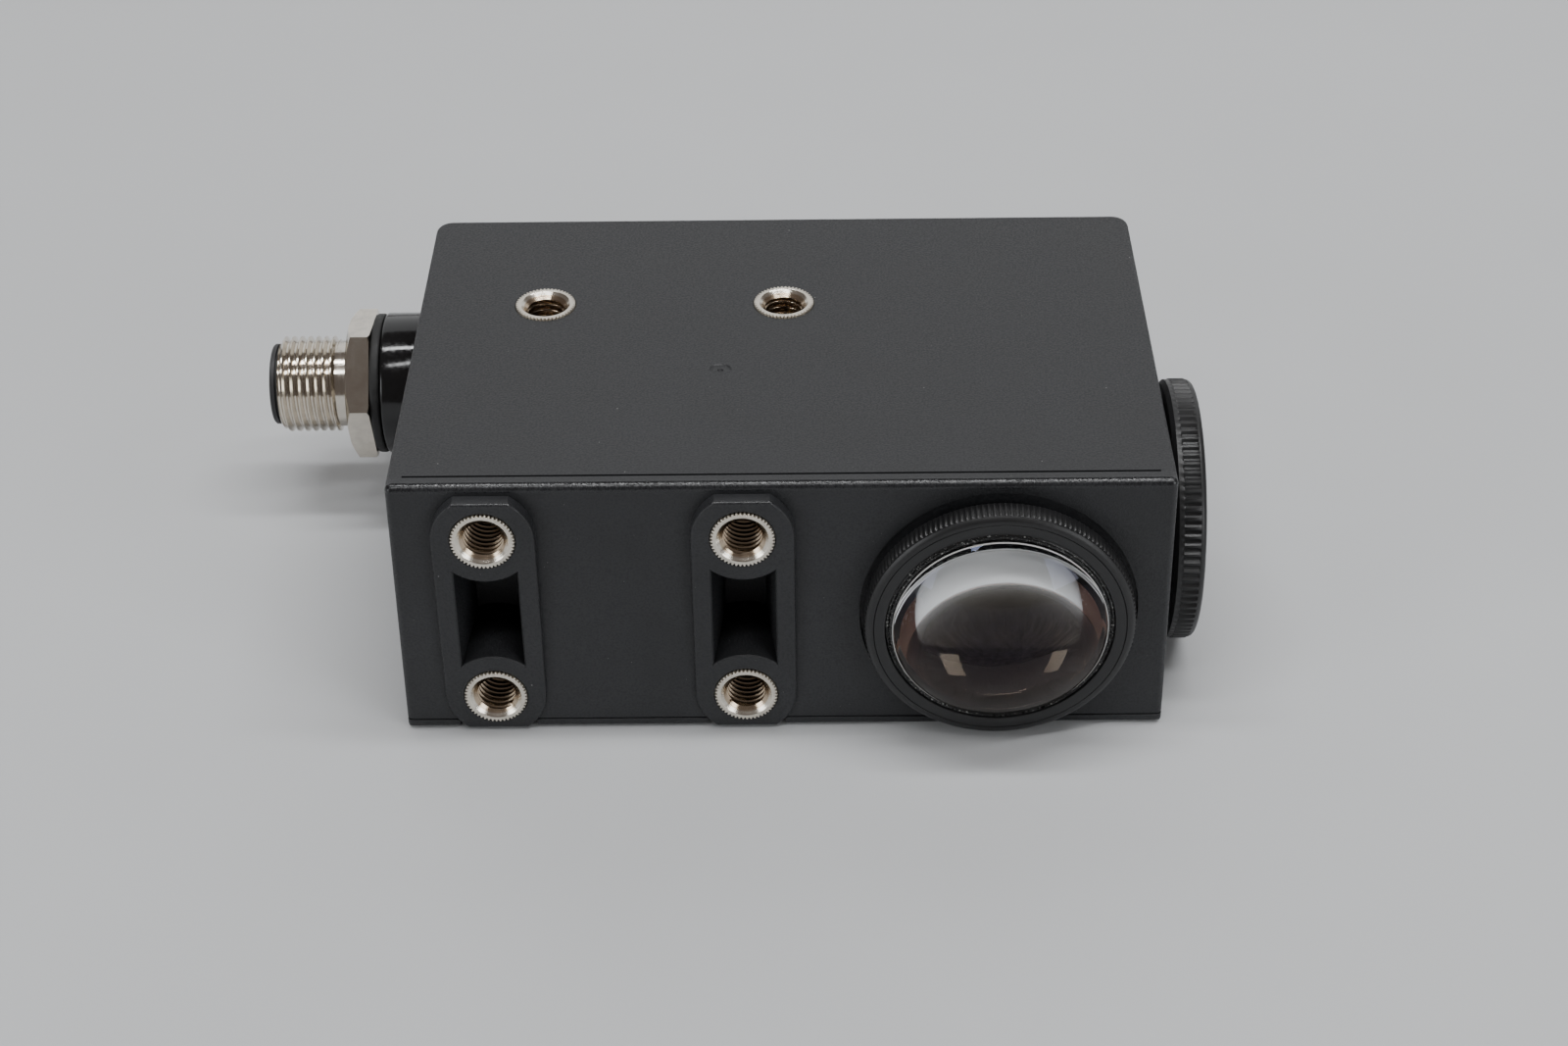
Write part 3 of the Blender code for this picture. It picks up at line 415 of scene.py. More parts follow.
def turnedMetal(name, values):
    # plated metal with fine turning marks that follow the lathe map
    mat, tree, shader, where = startMaterial(name, values["colour"], Metallic=1.0)
    lathe = addNode(tree, "UVMap", uv_map="lathe")["UV"]
    marks = addNode(tree, "TexNoise", {"Vector": lathe, "Scale": values["marks"], "Detail": 2.0})["Fac"]
    cloud = noise(tree, where, 1.6, 4.0, 0.6)
    reach = addNode(tree, "SeparateXYZ", {"Vector": lathe})["X"]
    darker = tuple(channel * 0.82 for channel in values["colour"])
    tint = mixed(tree, remap(tree, cloud, 0.4, 0.75, 0.0, 1.0), (*values["colour"], 1), (*darker, 1))
    # a darker colour within a radius, used as painted shade inside a bore
    if "inner" in values:
        radius, colour = values["inner"]
        tint = mixed(tree, remap(tree, reach, radius, radius + 0.1, 1.0, 0.0), tint, (*colour, 1))
    low, high = values["roughness"]
    gloss = remap(tree, calculate(tree, "ADD", marks, cloud), 0.75, 1.25, low, high)
    if "outer" in values:
        radius, rough = values["outer"]
        gloss = calculate(tree, "ADD", gloss, remap(tree, reach, radius, radius + 0.05, 0.0, rough - low))
    fine = bump(tree, marks, values["markDepth"])
    feed(tree, shader, tint, gloss, bump(tree, cloud, 0.002, 0.4, fine))
    return mat


def sealRubber(name, colour):
    mat, tree, shader, where = startMaterial(name, colour)
    cloud = noise(tree, where, 0.8, 4.0)
    bloom = remap(tree, cloud, 0.45, 0.75, 0.0, 0.35)
    tint = mixed(tree, bloom, (*colour, 1), (0.05, 0.05, 0.05, 1))
    gloss = remap(tree, cloud, 0.3, 0.7, 0.5, 0.75)
    feed(tree, shader, tint, gloss, bump(tree, noise(tree, where, 0.12, 3.0), 0.012))
    return mat


def opticalGlass(name, values):
    # clear coated glass with a faint film and a few specks of dust
    mat, tree, shader, where = startMaterial(name, values["colour"], IOR=values["ior"])
    shader.inputs["Transmission Weight"].default_value = 1.0
    shader.inputs["Thin Film Thickness"].default_value = values["film"]
    shader.inputs["Thin Film IOR"].default_value = 1.38
    film = noise(tree, where, 2.5, 5.0, 0.65)
    dust = specks(tree, where, 1.7, 0.05)
    tint = mixed(tree, dust, (*values["colour"], 1), (0.8, 0.8, 0.78, 1))
    gloss = remap(tree, film, 0.45, 0.8, *values["roughness"])
    feed(tree, shader, tint, gloss, bump(tree, film, 0.0006, 0.3))
    return mat


def circuitBoard(name, values):
    # solder mask over copper tracks, with small pads
    mat, tree, shader, where = startMaterial(name, values["mask"])
    inputs = {
        "Vector": where,
        "Scale": 0.35,
        "Mortar Size": 0.03,
        "Brick Width": 1.3,
        "Row Height": 0.4,
        "Color1": (1, 1, 1, 1),
        "Color2": (0.8, 0.8, 0.8, 1),
        "Mortar": (0, 0, 0, 1),
    }
    tracks = addNode(tree, "TexBrick", inputs)["Fac"]
    masked = mixed(tree, tracks, (*values["mask"], 1), (*values["track"], 1))
    dotted = mixed(tree, specks(tree, where, 2.2, 0.35), masked, (*values["pad"], 1))
    gloss = remap(tree, noise(tree, where, 0.3, 2.0), 0.3, 0.7, 0.25, 0.45)
    feed(tree, shader, dotted, gloss, bump(tree, tracks, 0.03, 0.6))
    return mat


def tintedPlastic(name, colour):
    # translucent indicator lens
    mat, tree, shader, where = startMaterial(name, colour, IOR=1.49)
    shader.inputs["Transmission Weight"].default_value = 0.5
    cloud = noise(tree, where, 0.7, 3.0)
    deeper = tuple(channel * 0.7 for channel in colour)
    tint = mixed(tree, cloud, (*colour, 1), (*deeper, 1))
    feed(tree, shader, tint, remap(tree, cloud, 0.3, 0.7, 0.08, 0.2), bump(tree, cloud, 0.01, 0.5))
    return mat


# plastics: colour, spread of its clouds, grain size and depth, roughness, and the strength,
# spacing and size of the dust; sizes in millimetres
plastics = {
    "housing": ((0.0125, 0.013, 0.0145), 1.5, (0.24, 0.035), (0.46, 0.56), (0.55, 4.0, 0.10)),
    "ring": ((0.009, 0.009, 0.0095), 1.4, (0.10, 0.008), (0.34, 0.46), (0.35, 3.0, 0.07)),
    "sleeve": ((0.006, 0.006, 0.0065), 1.3, (0.4, 0.003), (0.10, 0.17), (0.3, 3.0, 0.06)),
    "panel": ((0.030, 0.031, 0.035), 1.25, (0.12, 0.010), (0.36, 0.46), (0.3, 4.0, 0.08)),
    "button": ((0.085, 0.086, 0.09), 1.2, (0.14, 0.012), (0.50, 0.62), (0.2, 3.0, 0.06)),
    "component": ((0.02, 0.02, 0.021), 1.6, (0.10, 0.012), (0.45, 0.6), (0.1, 3.0, 0.05)),
    "film": ((0.32, 0.15, 0.035), 1.3, (0.5, 0.01), (0.28, 0.4), (0.1, 3.0, 0.05)),
    "bead": ((0.008, 0.008, 0.008), 1.5, (0.3, 0.03), (0.22, 0.4), (1.0, 0.55, 0.12)),
    # the lens ring's bore is coloured copper as a painted reflection: copper streaks that show through the
    # lens
    "bore": ((0.34, 0.20, 0.15), 1.5, (0.4, 0.004), (0.18, 0.3), (0.2, 2.0, 0.05)),
    "groundEdge": ((0.42, 0.42, 0.41), 1.3, (0.15, 0.01), (0.25, 0.4), (0.2, 2.0, 0.05)),
}
# the housing's own wear; handling has polished the rounding along its front upper edge
wear = {
    "mottle": 0.12,
    "rubbed": [(-26.4, 32.0, 0.1), (-27.3, 31.3, 0.22), (-29.5, 30.55, 0.2)],  # y, z, polish
}
finishes = {
    "nickel": {
        "colour": (0.74, 0.69, 0.61),
        "marks": 9.0,
        "markDepth": 0.002,
        "roughness": (0.10, 0.20),
    },
    "insert": {
        "colour": (0.80, 0.75, 0.66),
        "marks": 9.0,
        "markDepth": 0.006,
        "roughness": (0.16, 0.26),
        # brass-brown thread, coloured darker than the rim as painted shade in the insert's hole
        "inner": (2.5, (0.52, 0.42, 0.31)),  # colour within this radius
        "outer": (2.88, 0.42),  # roughness outside this radius
    },
    "steel": {
        "colour": (0.50, 0.50, 0.51),
        "marks": 7.0,
        "markDepth": 0.008,
        "roughness": (0.28, 0.42),
    },
    "gold": {
        "colour": (0.86, 0.62, 0.27),
        "marks": 8.0,
        "markDepth": 0.004,
        "roughness": (0.18, 0.3),
    },
    "lens": {"colour": (0.985, 0.99, 0.99), "ior": 1.52, "roughness": (0.0, 0.006), "film": 110.0},
    "board": {"mask": (0.012, 0.085, 0.035), "track": (0.03, 0.17, 0.07), "pad": (0.5, 0.45, 0.3)},
    "green": (0.06, 0.50, 0.12),
    "amber": (0.80, 0.38, 0.04),
    "rubber": (0.010, 0.010, 0.010),
}

housingPlastic = mouldedPlastic("housingPlastic", plastics["housing"], **wear)
ringPlastic = mouldedPlastic("ringPlastic", plastics["ring"])
sleevePlastic = mouldedPlastic("sleevePlastic", plastics["sleeve"])
panelPlastic = mouldedPlastic("panelPlastic", plastics["panel"])
buttonRubber = mouldedPlastic("buttonRubber", plastics["button"])
componentPlastic = mouldedPlastic("componentPlastic", plastics["component"])
leadFilm = mouldedPlastic("leadFilm", plastics["film"])
beadSealant = mouldedPlastic("beadSealant", plastics["bead"])
boreCopperReflection = mouldedPlastic("boreCopperReflection", plastics["bore"])
groundEdge = mouldedPlastic("groundEdge", plastics["groundEdge"])
nickelPlate = turnedMetal("nickelPlate", finishes["nickel"])
insertMetal = turnedMetal("insertMetal", finishes["insert"])
screwSteel = turnedMetal("screwSteel", finishes["steel"])
contactGold = turnedMetal("contactGold", finishes["gold"])
clearGlass = opticalGlass("clearGlass", finishes["lens"])
greenBoard = circuitBoard("greenBoard", finishes["board"])
greenLight = tintedPlastic("greenLight", finishes["green"])
amberLight = tintedPlastic("amberLight", finishes["amber"])
blackRubber = sealRubber("blackRubber", finishes["rubber"])
print("scanner: materials made")


# where things are, read from the frame

bodyLow, bodyHigh = nodeBox("housing_body")
coverLow = nodeBox("bottom_cover")[0]
ringLow = nodeBox("lens_ring")[0]
capHigh = nodeBox("blind_cap")[1]
shellLow, shellHigh = nodeBox("connector_shell")
sleeveLow, sleeveHigh = nodeBox("connector_sleeve")
panelLow, panelHigh = nodeBox("control_panel")

lensAxis = (nodeCentre("lens_ring").x, nodeCentre("lens_ring").z)  # x and z
capAxis = (nodeCentre("blind_cap").y, nodeCentre("blind_cap").z)  # y and z
plugAxis = (nodeCentre("connector_sleeve").y, nodeCentre("connector_sleeve").z)
padInserts = nodeCentres("front_insert", 4)
topInserts = nodeCentres("top_insert", 2)
coverScrews = nodeCentres("cover_screw", 4)
padX = (padInserts[0].x, padInserts[2].x)
insertZ = (padInserts[1].z, padInserts[0].z)
topZ = bodyHigh.z
padFace = bodyLow.y
rearY = bodyHigh.y
frontY = coverLow.y
halfLength = bodyHigh.x


# housing with its two mounting pads

housing = {
    "lean": 1.4,  # the front wall's top edge stands this far back
    "wall": 2.2,
    "frontWall": 2.4,
    "rim": 1.32,  # height of the lower rim, just above the cover
    "rearCorner": 2.0,
    "frontCorner": 0.7,
    "topEdge": 0.75,
    "padRadius": 5.65,
    "padTop": 31.0,
    "padEdge": 0.28,
    "padBack": -20.5,
    "insertHole": 3.53,
    "insertDepth": 8.3,
    "pocketHalf": 3.5,
    "pocketArc": 5.5,
    "pocketDepth": 8.5,
    "pocketDraft": 1.2,
    "pocketLip": 0.16,
    "seatRadius": 15.3,
    "seatDepth": 28.15,
    "sealRadius": 13.5,
    "sealDepth": 27.5,
    "bore": 12.0,
    "portEnd": -20.3,  # where the lens port opens into the inside
    "collarRadius": 15.0,
    "collarFoot": 2.9,
    "lensCollar": (-27.6, -22.2),
    "capCollar": 36.8,
    "capPort": 34.5,
    "capSeal": 1.05,  # depth of the seal's seat in the cap's port
    "bossRadius": 5.5,  # bosses round the top inserts
    "bossFoot": 23.0,
    "postRadius": 2.2,  # posts for the cover screws
    "postHeight": (2.95, 7.1),
    "postHole": (1.1, 2.0, 6.9),
    "plugHole": 7.1,
    "panelWindow": ((-17, 26.5, 9), (24, 29, 23)),
    "panelGap": 0.25,
    "grooveY": -26.25,
    "grooveHalf": 40.75,
    "grooveWidth": 0.32,
    "grooveDepth": 0.22,
    "mark": (-6.92, -5.3),  # round moulding mark on the top face
    "markRadius": 1.3,
    "recessDepth": 1.3,
}


def wallY(z):
    return frontY + housing["lean"] * z / topZ


def housingBlock():
    side = [
        (wallY(housing["rim"]), housing["rim"]),
        (rearY, housing["rim"]),
        (rearY, topZ),
        (wallY(topZ), topZ),
    ]
    bm = prism(side, "X", -halfLength, halfLength)
    rounded(bm, lambda e: upright(e) and e.verts[0].co.y > 0, housing["rearCorner"], 8)
    rounded(bm, lambda e: upright(e) and e.verts[0].co.y < 0, housing["frontCorner"], 5)
    rounded(bm, liesAt(2, topZ), housing["topEdge"], 5)
    rounded(bm, liesAt(2, housing["rim"]), 0.1, 2)
    return bm


def padShape(x):
    # stadium round two inserts, cut flat at the ledge and at the foot
    radius = housing["padRadius"]
    dip = math.degrees(math.asin((bodyLow.z - insertZ[0]) / radius))
    rise = math.degrees(math.asin((housing["padTop"] - insertZ[1]) / radius))
    outline = arc((x, insertZ[0]), radius, dip, 0, 14)
    outline += arc((x, insertZ[1]), radius, 0, rise, 16)
    outline += arc((x, insertZ[1]), radius, 180 - rise, 180, 16)
    outline += arc((x, insertZ[0]), radius, 180, 180 - dip, 14)
    bm = prism(outline, "Y", padFace, housing["padBack"] - 0.05)
    return rounded(bm, liesAt(1, padFace), housing["padEdge"], 4)


def pocketShape(x):
    # drafted pocket between two inserts, with an eased lip
    lip = housing["pocketLip"]
    draft = housing["pocketDraft"]
    rings = []
    for depth, shrink in ((-0.4, -lip), (0.0, -lip), (lip, 0.0), (housing["pocketDepth"], draft)):
        y = padFace + depth
        half = housing["pocketHalf"] - shrink
        outline = []
        for side, centre in ((-1, insertZ[1]), (1, insertZ[0])):
            for index in range(13):
                offset = half * (index / 6 - 1) * -side
                reach = math.sqrt(housing["pocketArc"] ** 2 - offset ** 2) + shrink
                outline.append((x + offset, y, centre + side * reach))
        rings.append(outline)
    bm = bmesh.new()
    loops = [[bm.verts.new(point) for point in outline] for outline in rings]
    bm.faces.new(loops[0])
    bm.faces.new(loops[-1])
    for lower, upper in zip(loops, loops[1:]):
        edges = []
        for loop in (lower, upper):
            for first, second in zip(loop, loop[1:] + loop[:1]):
                edges.append(bm.edges.get((first, second)) or bm.edges.new((first, second)))
        bmesh.ops.bridge_loops(bm, edges=edges)
    bmesh.ops.recalc_face_normals(bm, faces=bm.faces)
    return bm


def flatDisc(centre, radius, floor):
    # disc cut flat at the foot
    dip = math.degrees(math.asin((floor - centre[1]) / radius))
    return arc(centre, radius, dip, 180 - dip, 48)


def buildHousing():
    roof = topZ - housing["wall"]
    inside = [
        (wallY(0) + housing["frontWall"], 0),
        (rearY - housing["wall"], 0),
        (rearY - housing["wall"], roof),
        (wallY(roof) + housing["frontWall"], roof),
    ]
    side = halfLength - housing["wall"]
    steps = cuts(prism(inside, "X", -side, side))
    for x, left in zip(padX, (-side - 0.5, padX[1] - housing["padRadius"])):
        right = x + housing["padRadius"] - 0.02
        low = (left, frontY + 1.8, housing["rim"] + 0.15)
        steps += joins(block(low, (right, housing["padBack"], roof + 0.6)), padShape(x))

    radius = housing["collarRadius"]
    foot = housing["collarFoot"]
    steps += joins(
        prism(flatDisc(lensAxis, radius, foot), "Y", *housing["lensCollar"]),
        prism(flatDisc(capAxis, radius - 0.05, foot), "X", housing["capCollar"], halfLength - 0.8),
    )
    for centre in topInserts:
        spot = (centre.x, centre.y)
        steps += joins(rod(housing["bossRadius"], (*spot, housing["bossFoot"]), (*spot, roof + 0.7)))
    low, high = housing["postHeight"]
    for centre in coverScrews:
        spot = (centre.x, centre.y)
        steps += joins(rod(housing["postRadius"], (*spot, low), (*spot, high), 20))

    seat = housing["seatRadius"]
    sealSeat = housing["sealRadius"]
    bore = housing["bore"]
    port = [
        (0, -36),
        (seat + 0.15, -36),
        (seat + 0.15, frontY + 0.15),
        (seat, frontY + 0.6),
        (seat, -housing["seatDepth"]),
        (sealSeat, -housing["seatDepth"]),
        (sealSeat, -housing["sealDepth"]),
        (bore, -housing["sealDepth"]),
        (bore, housing["portEnd"]),
        (0, housing["portEnd"]),
    ]
    steps += cuts(placed(turned(port, 96), (lensAxis[0], 0, lensAxis[1]), (0, 1, 0)))
    ledge = halfLength - housing["capSeal"]
    port = [
        (0, housing["capPort"]),
        (bore, housing["capPort"]),
        (bore, ledge),
        (sealSeat, ledge),
        (sealSeat, halfLength + 2),
        (0, halfLength + 2),
    ]
    steps += cuts(placed(turned(port, 96), (0, *capAxis), (1, 0, 0)))
    steps += cuts(rod(housing["plugHole"], (-45, *plugAxis), (-37.5, *plugAxis), 64))

    hole = housing["insertHole"]
    depth = housing["insertDepth"]
    mouth = [(0, -1), (hole + 0.12, -1), (hole + 0.12, 0), (hole, 0.12), (hole, depth), (0, depth)]
    for centre in padInserts:
        steps += cuts(placed(turned(mouth, 64), (centre.x, padFace, centre.z), (0, 1, 0)))
    for x in padX:
        steps += cuts(pocketShape(x))
    for centre in topInserts:
        steps += cuts(placed(turned(mouth, 64), (centre.x, centre.y, topZ), (0, 0, -1)))

    gap = housing["panelGap"]
    low = (panelLow.x - gap, rearY - housing["recessDepth"], panelLow.z - gap)
    high = (panelHigh.x + gap, rearY + 1, panelHigh.z + gap)
    recess = rounded(block(low, high), runsAlong(1, 1.0), 0.6, 4)
    steps += cuts(recess, block(*housing["panelWindow"]))

    half = housing["grooveWidth"] / 2
    low = (-housing["grooveHalf"], housing["grooveY"] - half, topZ - housing["grooveDepth"])
    high = (housing["grooveHalf"], housing["grooveY"] + half, topZ + 1)
    steps += cuts(block(low, high))
    radius = housing["markRadius"]
    dish = [(0, -0.28), (0.22, -0.25), (0.36, -0.1)]
    dish += [(radius - 0.2, -0.13), (radius, 0.01), (radius, 1), (0, 1)]
    steps += cuts(placed(turned(dish, 32), (*housing["mark"], topZ)))
    radius, low, high = housing["postHole"]
    for centre in coverScrews:
        steps += cuts(rod(radius, (centre.x, centre.y, low), (centre.x, centre.y, high), 16))
    shape = combined(housingBlock(), steps)
    finished("housing", shape, "housing", housingPlastic, ["housing_body"], even=True)


buildHousing()
print("scanner: housing built")


# bottom cover

cover = {
    "thick": 1.2,
    "footEdge": 0.9,
    "tongueGap": 1.2,  # between the raised tongue and the walls
    "tongue": (0.6, 2.6),
    "padNotch": 4.35,
    "screwHead": 2.3,
}


def buildCover():
    # plan outline crossed with the two side views, so that every foot edge is rounded alike
    thick = cover["thick"]
    foot = cover["footEdge"]
    rear = housing["rearCorner"]
    front = housing["frontCorner"]
    plan = [
        (-halfLength, frontY, front),
        (halfLength, frontY, front),
        (halfLength, rearY, rear),
        (-halfLength, rearY, rear),
    ]
    plate = prism(softened(plan, steps=8), "Z", coverLow.z, thick)
    steps = []
    for direction, low, high in (("X", frontY, rearY), ("Y", -halfLength, halfLength)):
        view = [(low, coverLow.z, foot), (high, coverLow.z, foot), (high, thick, 0.1), (low, thick, 0.1)]
        steps.append(("INTERSECT", prism(softened(view, steps=5), direction, -60, 60)))
    inset = housing["wall"] + cover["tongueGap"]
    side = halfLength - inset
    low, high = cover["tongue"]
    steps += joins(block((-side, housing["padBack"] + 1.3, low), (side, rearY - inset, high)))
    for x in padX:
        low = (x - cover["padNotch"], -32, -1)
        steps += cuts(block(low, (x + cover["padNotch"], housing["padBack"] + 0.3, 2)))
    start = (lensAxis[0], -34, lensAxis[1])
    end = (lensAxis[0], -housing["seatDepth"], lensAxis[1])
    steps += cuts(rod(housing["seatRadius"], start, end, 96))
    head = cover["screwHead"]
    cone = [(0, -1), (head + 0.25, -1), (head + 0.25, 0.35), (1.4, 1.6), (1.4, 4), (0, 4)]
    for centre in coverScrews:
        steps += cuts(placed(turned(cone, 40), (centre.x, centre.y, 0)))
    shape = combined(plate, steps)
    finished("bottomCover", shape, "housing", housingPlastic, ["bottom_cover"], even=True)


def buildCoverScrews():
    head = cover["screwHead"]
    profile = [(0, 0.2), (head - 0.1, 0.2), (head, 0.3), (head, 0.45), (1.1, 1.6), (1.1, 7.0), (0, 7.0)]
    for number, centre in enumerate(coverScrews, 1):
        steps = []
        for turn in (0, 90):
            slot = block((-1.35, -0.22, -1), (1.35, 0.22, 0.95))
            rounded(slot, liesAt(2, 0.95), 0.2, 2)
            steps += cuts(placed(slot, (0, 0, 0), up, turn))
        shape = placed(combined(turned(profile, 40), steps), (centre.x, centre.y, 0))
        name = f"cover_screw_{number}"
        lathe = ((centre.x, centre.y, 0), up)
        finished(f"coverScrew{number}", shape, "housing", screwSteel, [name], lathe)


buildCover()
buildCoverScrews()
print("scanner: cover built")


# threaded inserts

insert = {
    "radius": 3.5,
    "length": 8.1,
    "teeth": 48,
    "toothDepth": 0.24,
    "land": 2.92,  # inner radius of the flat rim
    "bore": 2.13,
    "threadRoot": 2.5,
    "pitch": 0.8,
    "turns": 8,
    "rimHeight": 0.2,  # how far the rim stands out of the moulding
}


def insertShape():
    radius = insert["radius"]
    length = insert["length"]
    profile = [
        (insert["land"], 0),
        (radius - 0.05, 0),
        (radius, 0.05),
        (radius, length - 0.4),
        (radius - 0.3, length),
        (insert["bore"] + 0.2, length),
        (insert["bore"], length - 0.2),
        (insert["bore"], 0.72),
        (insert["land"] - 0.12, 0.1),
        (insert["land"] - 0.04, 0.02),
    ]
    body = turned(profile, insert["teeth"] * 4, ring=True)
    toothed(body, insert["teeth"], insert["toothDepth"], 0.0, length - 0.4, radius - 0.06)
    half = insert["pitch"] / 2
    section = [
        (insert["bore"] - 0.25, -half * 0.95),
        (insert["bore"] - 0.25, half * 0.95),
        (insert["threadRoot"], 0.06),
        (insert["threadRoot"], -0.06),
    ]
    thread = helix(section, insert["pitch"], insert["turns"], 32)
    bmesh.ops.translate(thread, verts=thread.verts, vec=(0, 0, 0.75))
    return combined(body, cuts(thread))


def buildInserts():
    drawing = insertShape()
    spots = []
    for number, centre in enumerate(padInserts, 1):
        foot = (centre.x, padFace - insert["rimHeight"], centre.z)
        spots.append((f"front_insert_{number}", f"frontInsert{number}", foot, (0, 1, 0)))
    for number, centre in enumerate(topInserts, 1):
        foot = (centre.x, centre.y, topZ + insert["rimHeight"])
        spots.append((f"top_insert_{number}", f"topInsert{number}", foot, (0, 0, -1)))
    for turn, (node, name, foot, axis) in enumerate(spots):
        shape = placed(drawing.copy(), foot, axis, turn * 47)
        finished(name, shape, "housing", insertMetal, [node], (foot, axis), 25)
    drawing.free()


buildInserts()
print("scanner: inserts built")


# seals behind the flanges of the lens ring and the cap

seal = {
    "inner": 12.3,
    "outer": 13.3,
    "corner": 0.3,
    "gap": 0.28,  # between flange and seal
}


def buildSeal(name, node, body, flange, width, foot, axis):
    near = flange + seal["gap"]
    far = near + width
    corner = seal["corner"]
    outline = [
        (seal["inner"], near, corner),
        (seal["outer"], near, corner),
        (seal["outer"], far, corner),
        (seal["inner"], far, corner),
    ]
    shape = ringAbout(softened(outline), foot, axis)
    finished(name, shape, body, blackRubber, [node])


# lens ring and its parts

lensUnit = {
    "radius": 14.87,
    "width": 2.95,
    "edge": 0.7,
    "teeth": 153,
    "toothDepth": 0.17,
    "mouth": 12.5,
    "line": 13.8,  # thin line turned into the front face
    "neck": 12.0,
    "barrel": 11.7,
    "bore": 10.2,
    "barrelEnd": 9.65,
    "lensRadius": 11.8,
    "lensSag": 4.35,
    "lensRim": -0.4,
    "lensBack": 3.1,  # where the lens's edge ends, behind the ring's face
    "backSag": 2.6,
    "backRadius": 10.3,
}


def threadSteps(radius, depth, start, end, pitch=1.0):
    # zigzag of plain thread rings along a barrel
    points = []
    count = int((end - start) / pitch)
    for index in range(count):
        at = start + index * pitch
        points += [(radius - depth, at), (radius, at + pitch * 0.4), (radius, at + pitch * 0.6)]
    points.append((radius - depth, start + count * pitch))
    return points


def buildLensUnit():
    axis = (0, 1, 0)
    foot = (lensAxis[0], ringLow.y, lensAxis[1])
    radius = lensUnit["radius"]
    width = lensUnit["width"]
    edge = lensUnit["edge"]
    end = lensUnit["barrelEnd"]
    lensRadius = lensUnit["lensRadius"]
    profile = [
        (lensUnit["mouth"], 0.25),
        (lensUnit["mouth"] + 0.1, 0.05),
        (lensUnit["mouth"] + 0.25, 0),
        (lensUnit["line"] - 0.06, 0),
        (lensUnit["line"], 0.09),
        (lensUnit["line"] + 0.06, 0),
        (radius - edge, 0),
        (radius - edge * 0.6, 0.1),
        (radius - edge * 0.25, 0.35),
        (radius - 0.18, edge - 0.12),
        (radius, edge + 0.05),
        (radius, width - 0.25),
        (radius - 0.2, width),
        (lensUnit["neck"], width),
        (lensUnit["neck"], width + 1.3),
        *threadSteps(lensUnit["barrel"], 0.25, width + 1.6, end - 0.3),
        (lensUnit["barrel"] - 0.35, end),
        (lensUnit["bore"], end),
        (lensUnit["bore"], 3.4),
        (lensRadius + 0.1, 3.4),
        (lensRadius + 0.1, 1.4),
        (lensUnit["mouth"], 1.4),
    ]
    ring = turned(profile, lensUnit["teeth"] * 4, ring=True)
    toothed(ring, lensUnit["teeth"], lensUnit["toothDepth"], edge, width - 0.25, radius)
    ring = placed(ring, foot, axis)
    made = finished("lensRing", ring, "lens_unit", ringPlastic, ["lens_ring"], sharp=35)
    # painted reflection: the bore of the black ring is coloured copper so that copper streaks show through
    # the lens
    paint(made, boreCopperReflection, lambda reach, along: reach < lensUnit["bore"] + 0.05, foot, axis)

    # double-convex lens: steep in front, flatter towards the barrel
    back = lensUnit["lensBack"]
    profile = capCurve(lensRadius, lensUnit["lensSag"], lensUnit["lensRim"], -1, 28)
    profile[-1] = (lensRadius - 0.12, profile[-2][1] + 0.42)
    profile += [(lensRadius, profile[-1][1] + 0.1), (lensRadius, back - 0.1), (lensRadius - 0.1, back)]
    profile += capCurve(lensUnit["backRadius"], lensUnit["backSag"], back, 1, 24)[::-1]
    lens = placed(turned(profile, 128), foot, axis)
    made = finished("frontLens", lens, "lens_unit", clearGlass, ["front_lens"], sharp=35)
    bevel = lensRadius - 0.13
    paint(made, groundEdge, lambda reach, along: reach > bevel and along < 0.1, foot, axis)

    mouth = lensUnit["mouth"]
    bead = [(lensRadius + 0.05, 0.25), (lensRadius + 0.25, 0.3), (mouth - 0.2, 0.16)]
    bead += [(mouth - 0.04, 0.25), (mouth - 0.04, 1.1), (lensRadius + 0.05, 1.1)]
    shape = ringAbout(bead, foot, axis)
    finished("lensBead", shape, "lens_unit", beadSealant, ["lens_bead"])
    buildSeal("lensSeal", "lens_seal", "lens_seat", width, 1.1, foot, axis)


def capCurve(radius, sag, rim, side, steps):
    # meridian of a spherical cap from its pole to its rim
    curve = (radius ** 2 + sag ** 2) / (2 * sag)
    wide = math.asin(radius / curve)
    points = []
    for index in range(steps + 1):
        angle = wide * index / steps
        height = sag - curve * (1 - math.cos(angle))
        points.append((curve * math.sin(angle), rim + side * height))
    return points


buildLensUnit()
print("scanner: lens built")


# blind cap

blindCap = {
    "radius": 14.95,
    "teeth": 90,
    "toothDepth": 0.3,
    "knurlWidth": 3.55,  # whole width of the grip, knurled or not
    "knurlEnd": 2.45,
    "edge": 0.65,
    "dish": 9.8,
    "neck": 12.0,
    "barrel": 11.7,
    "bore": 10.2,
    "barrelEnd": 9.9,
}


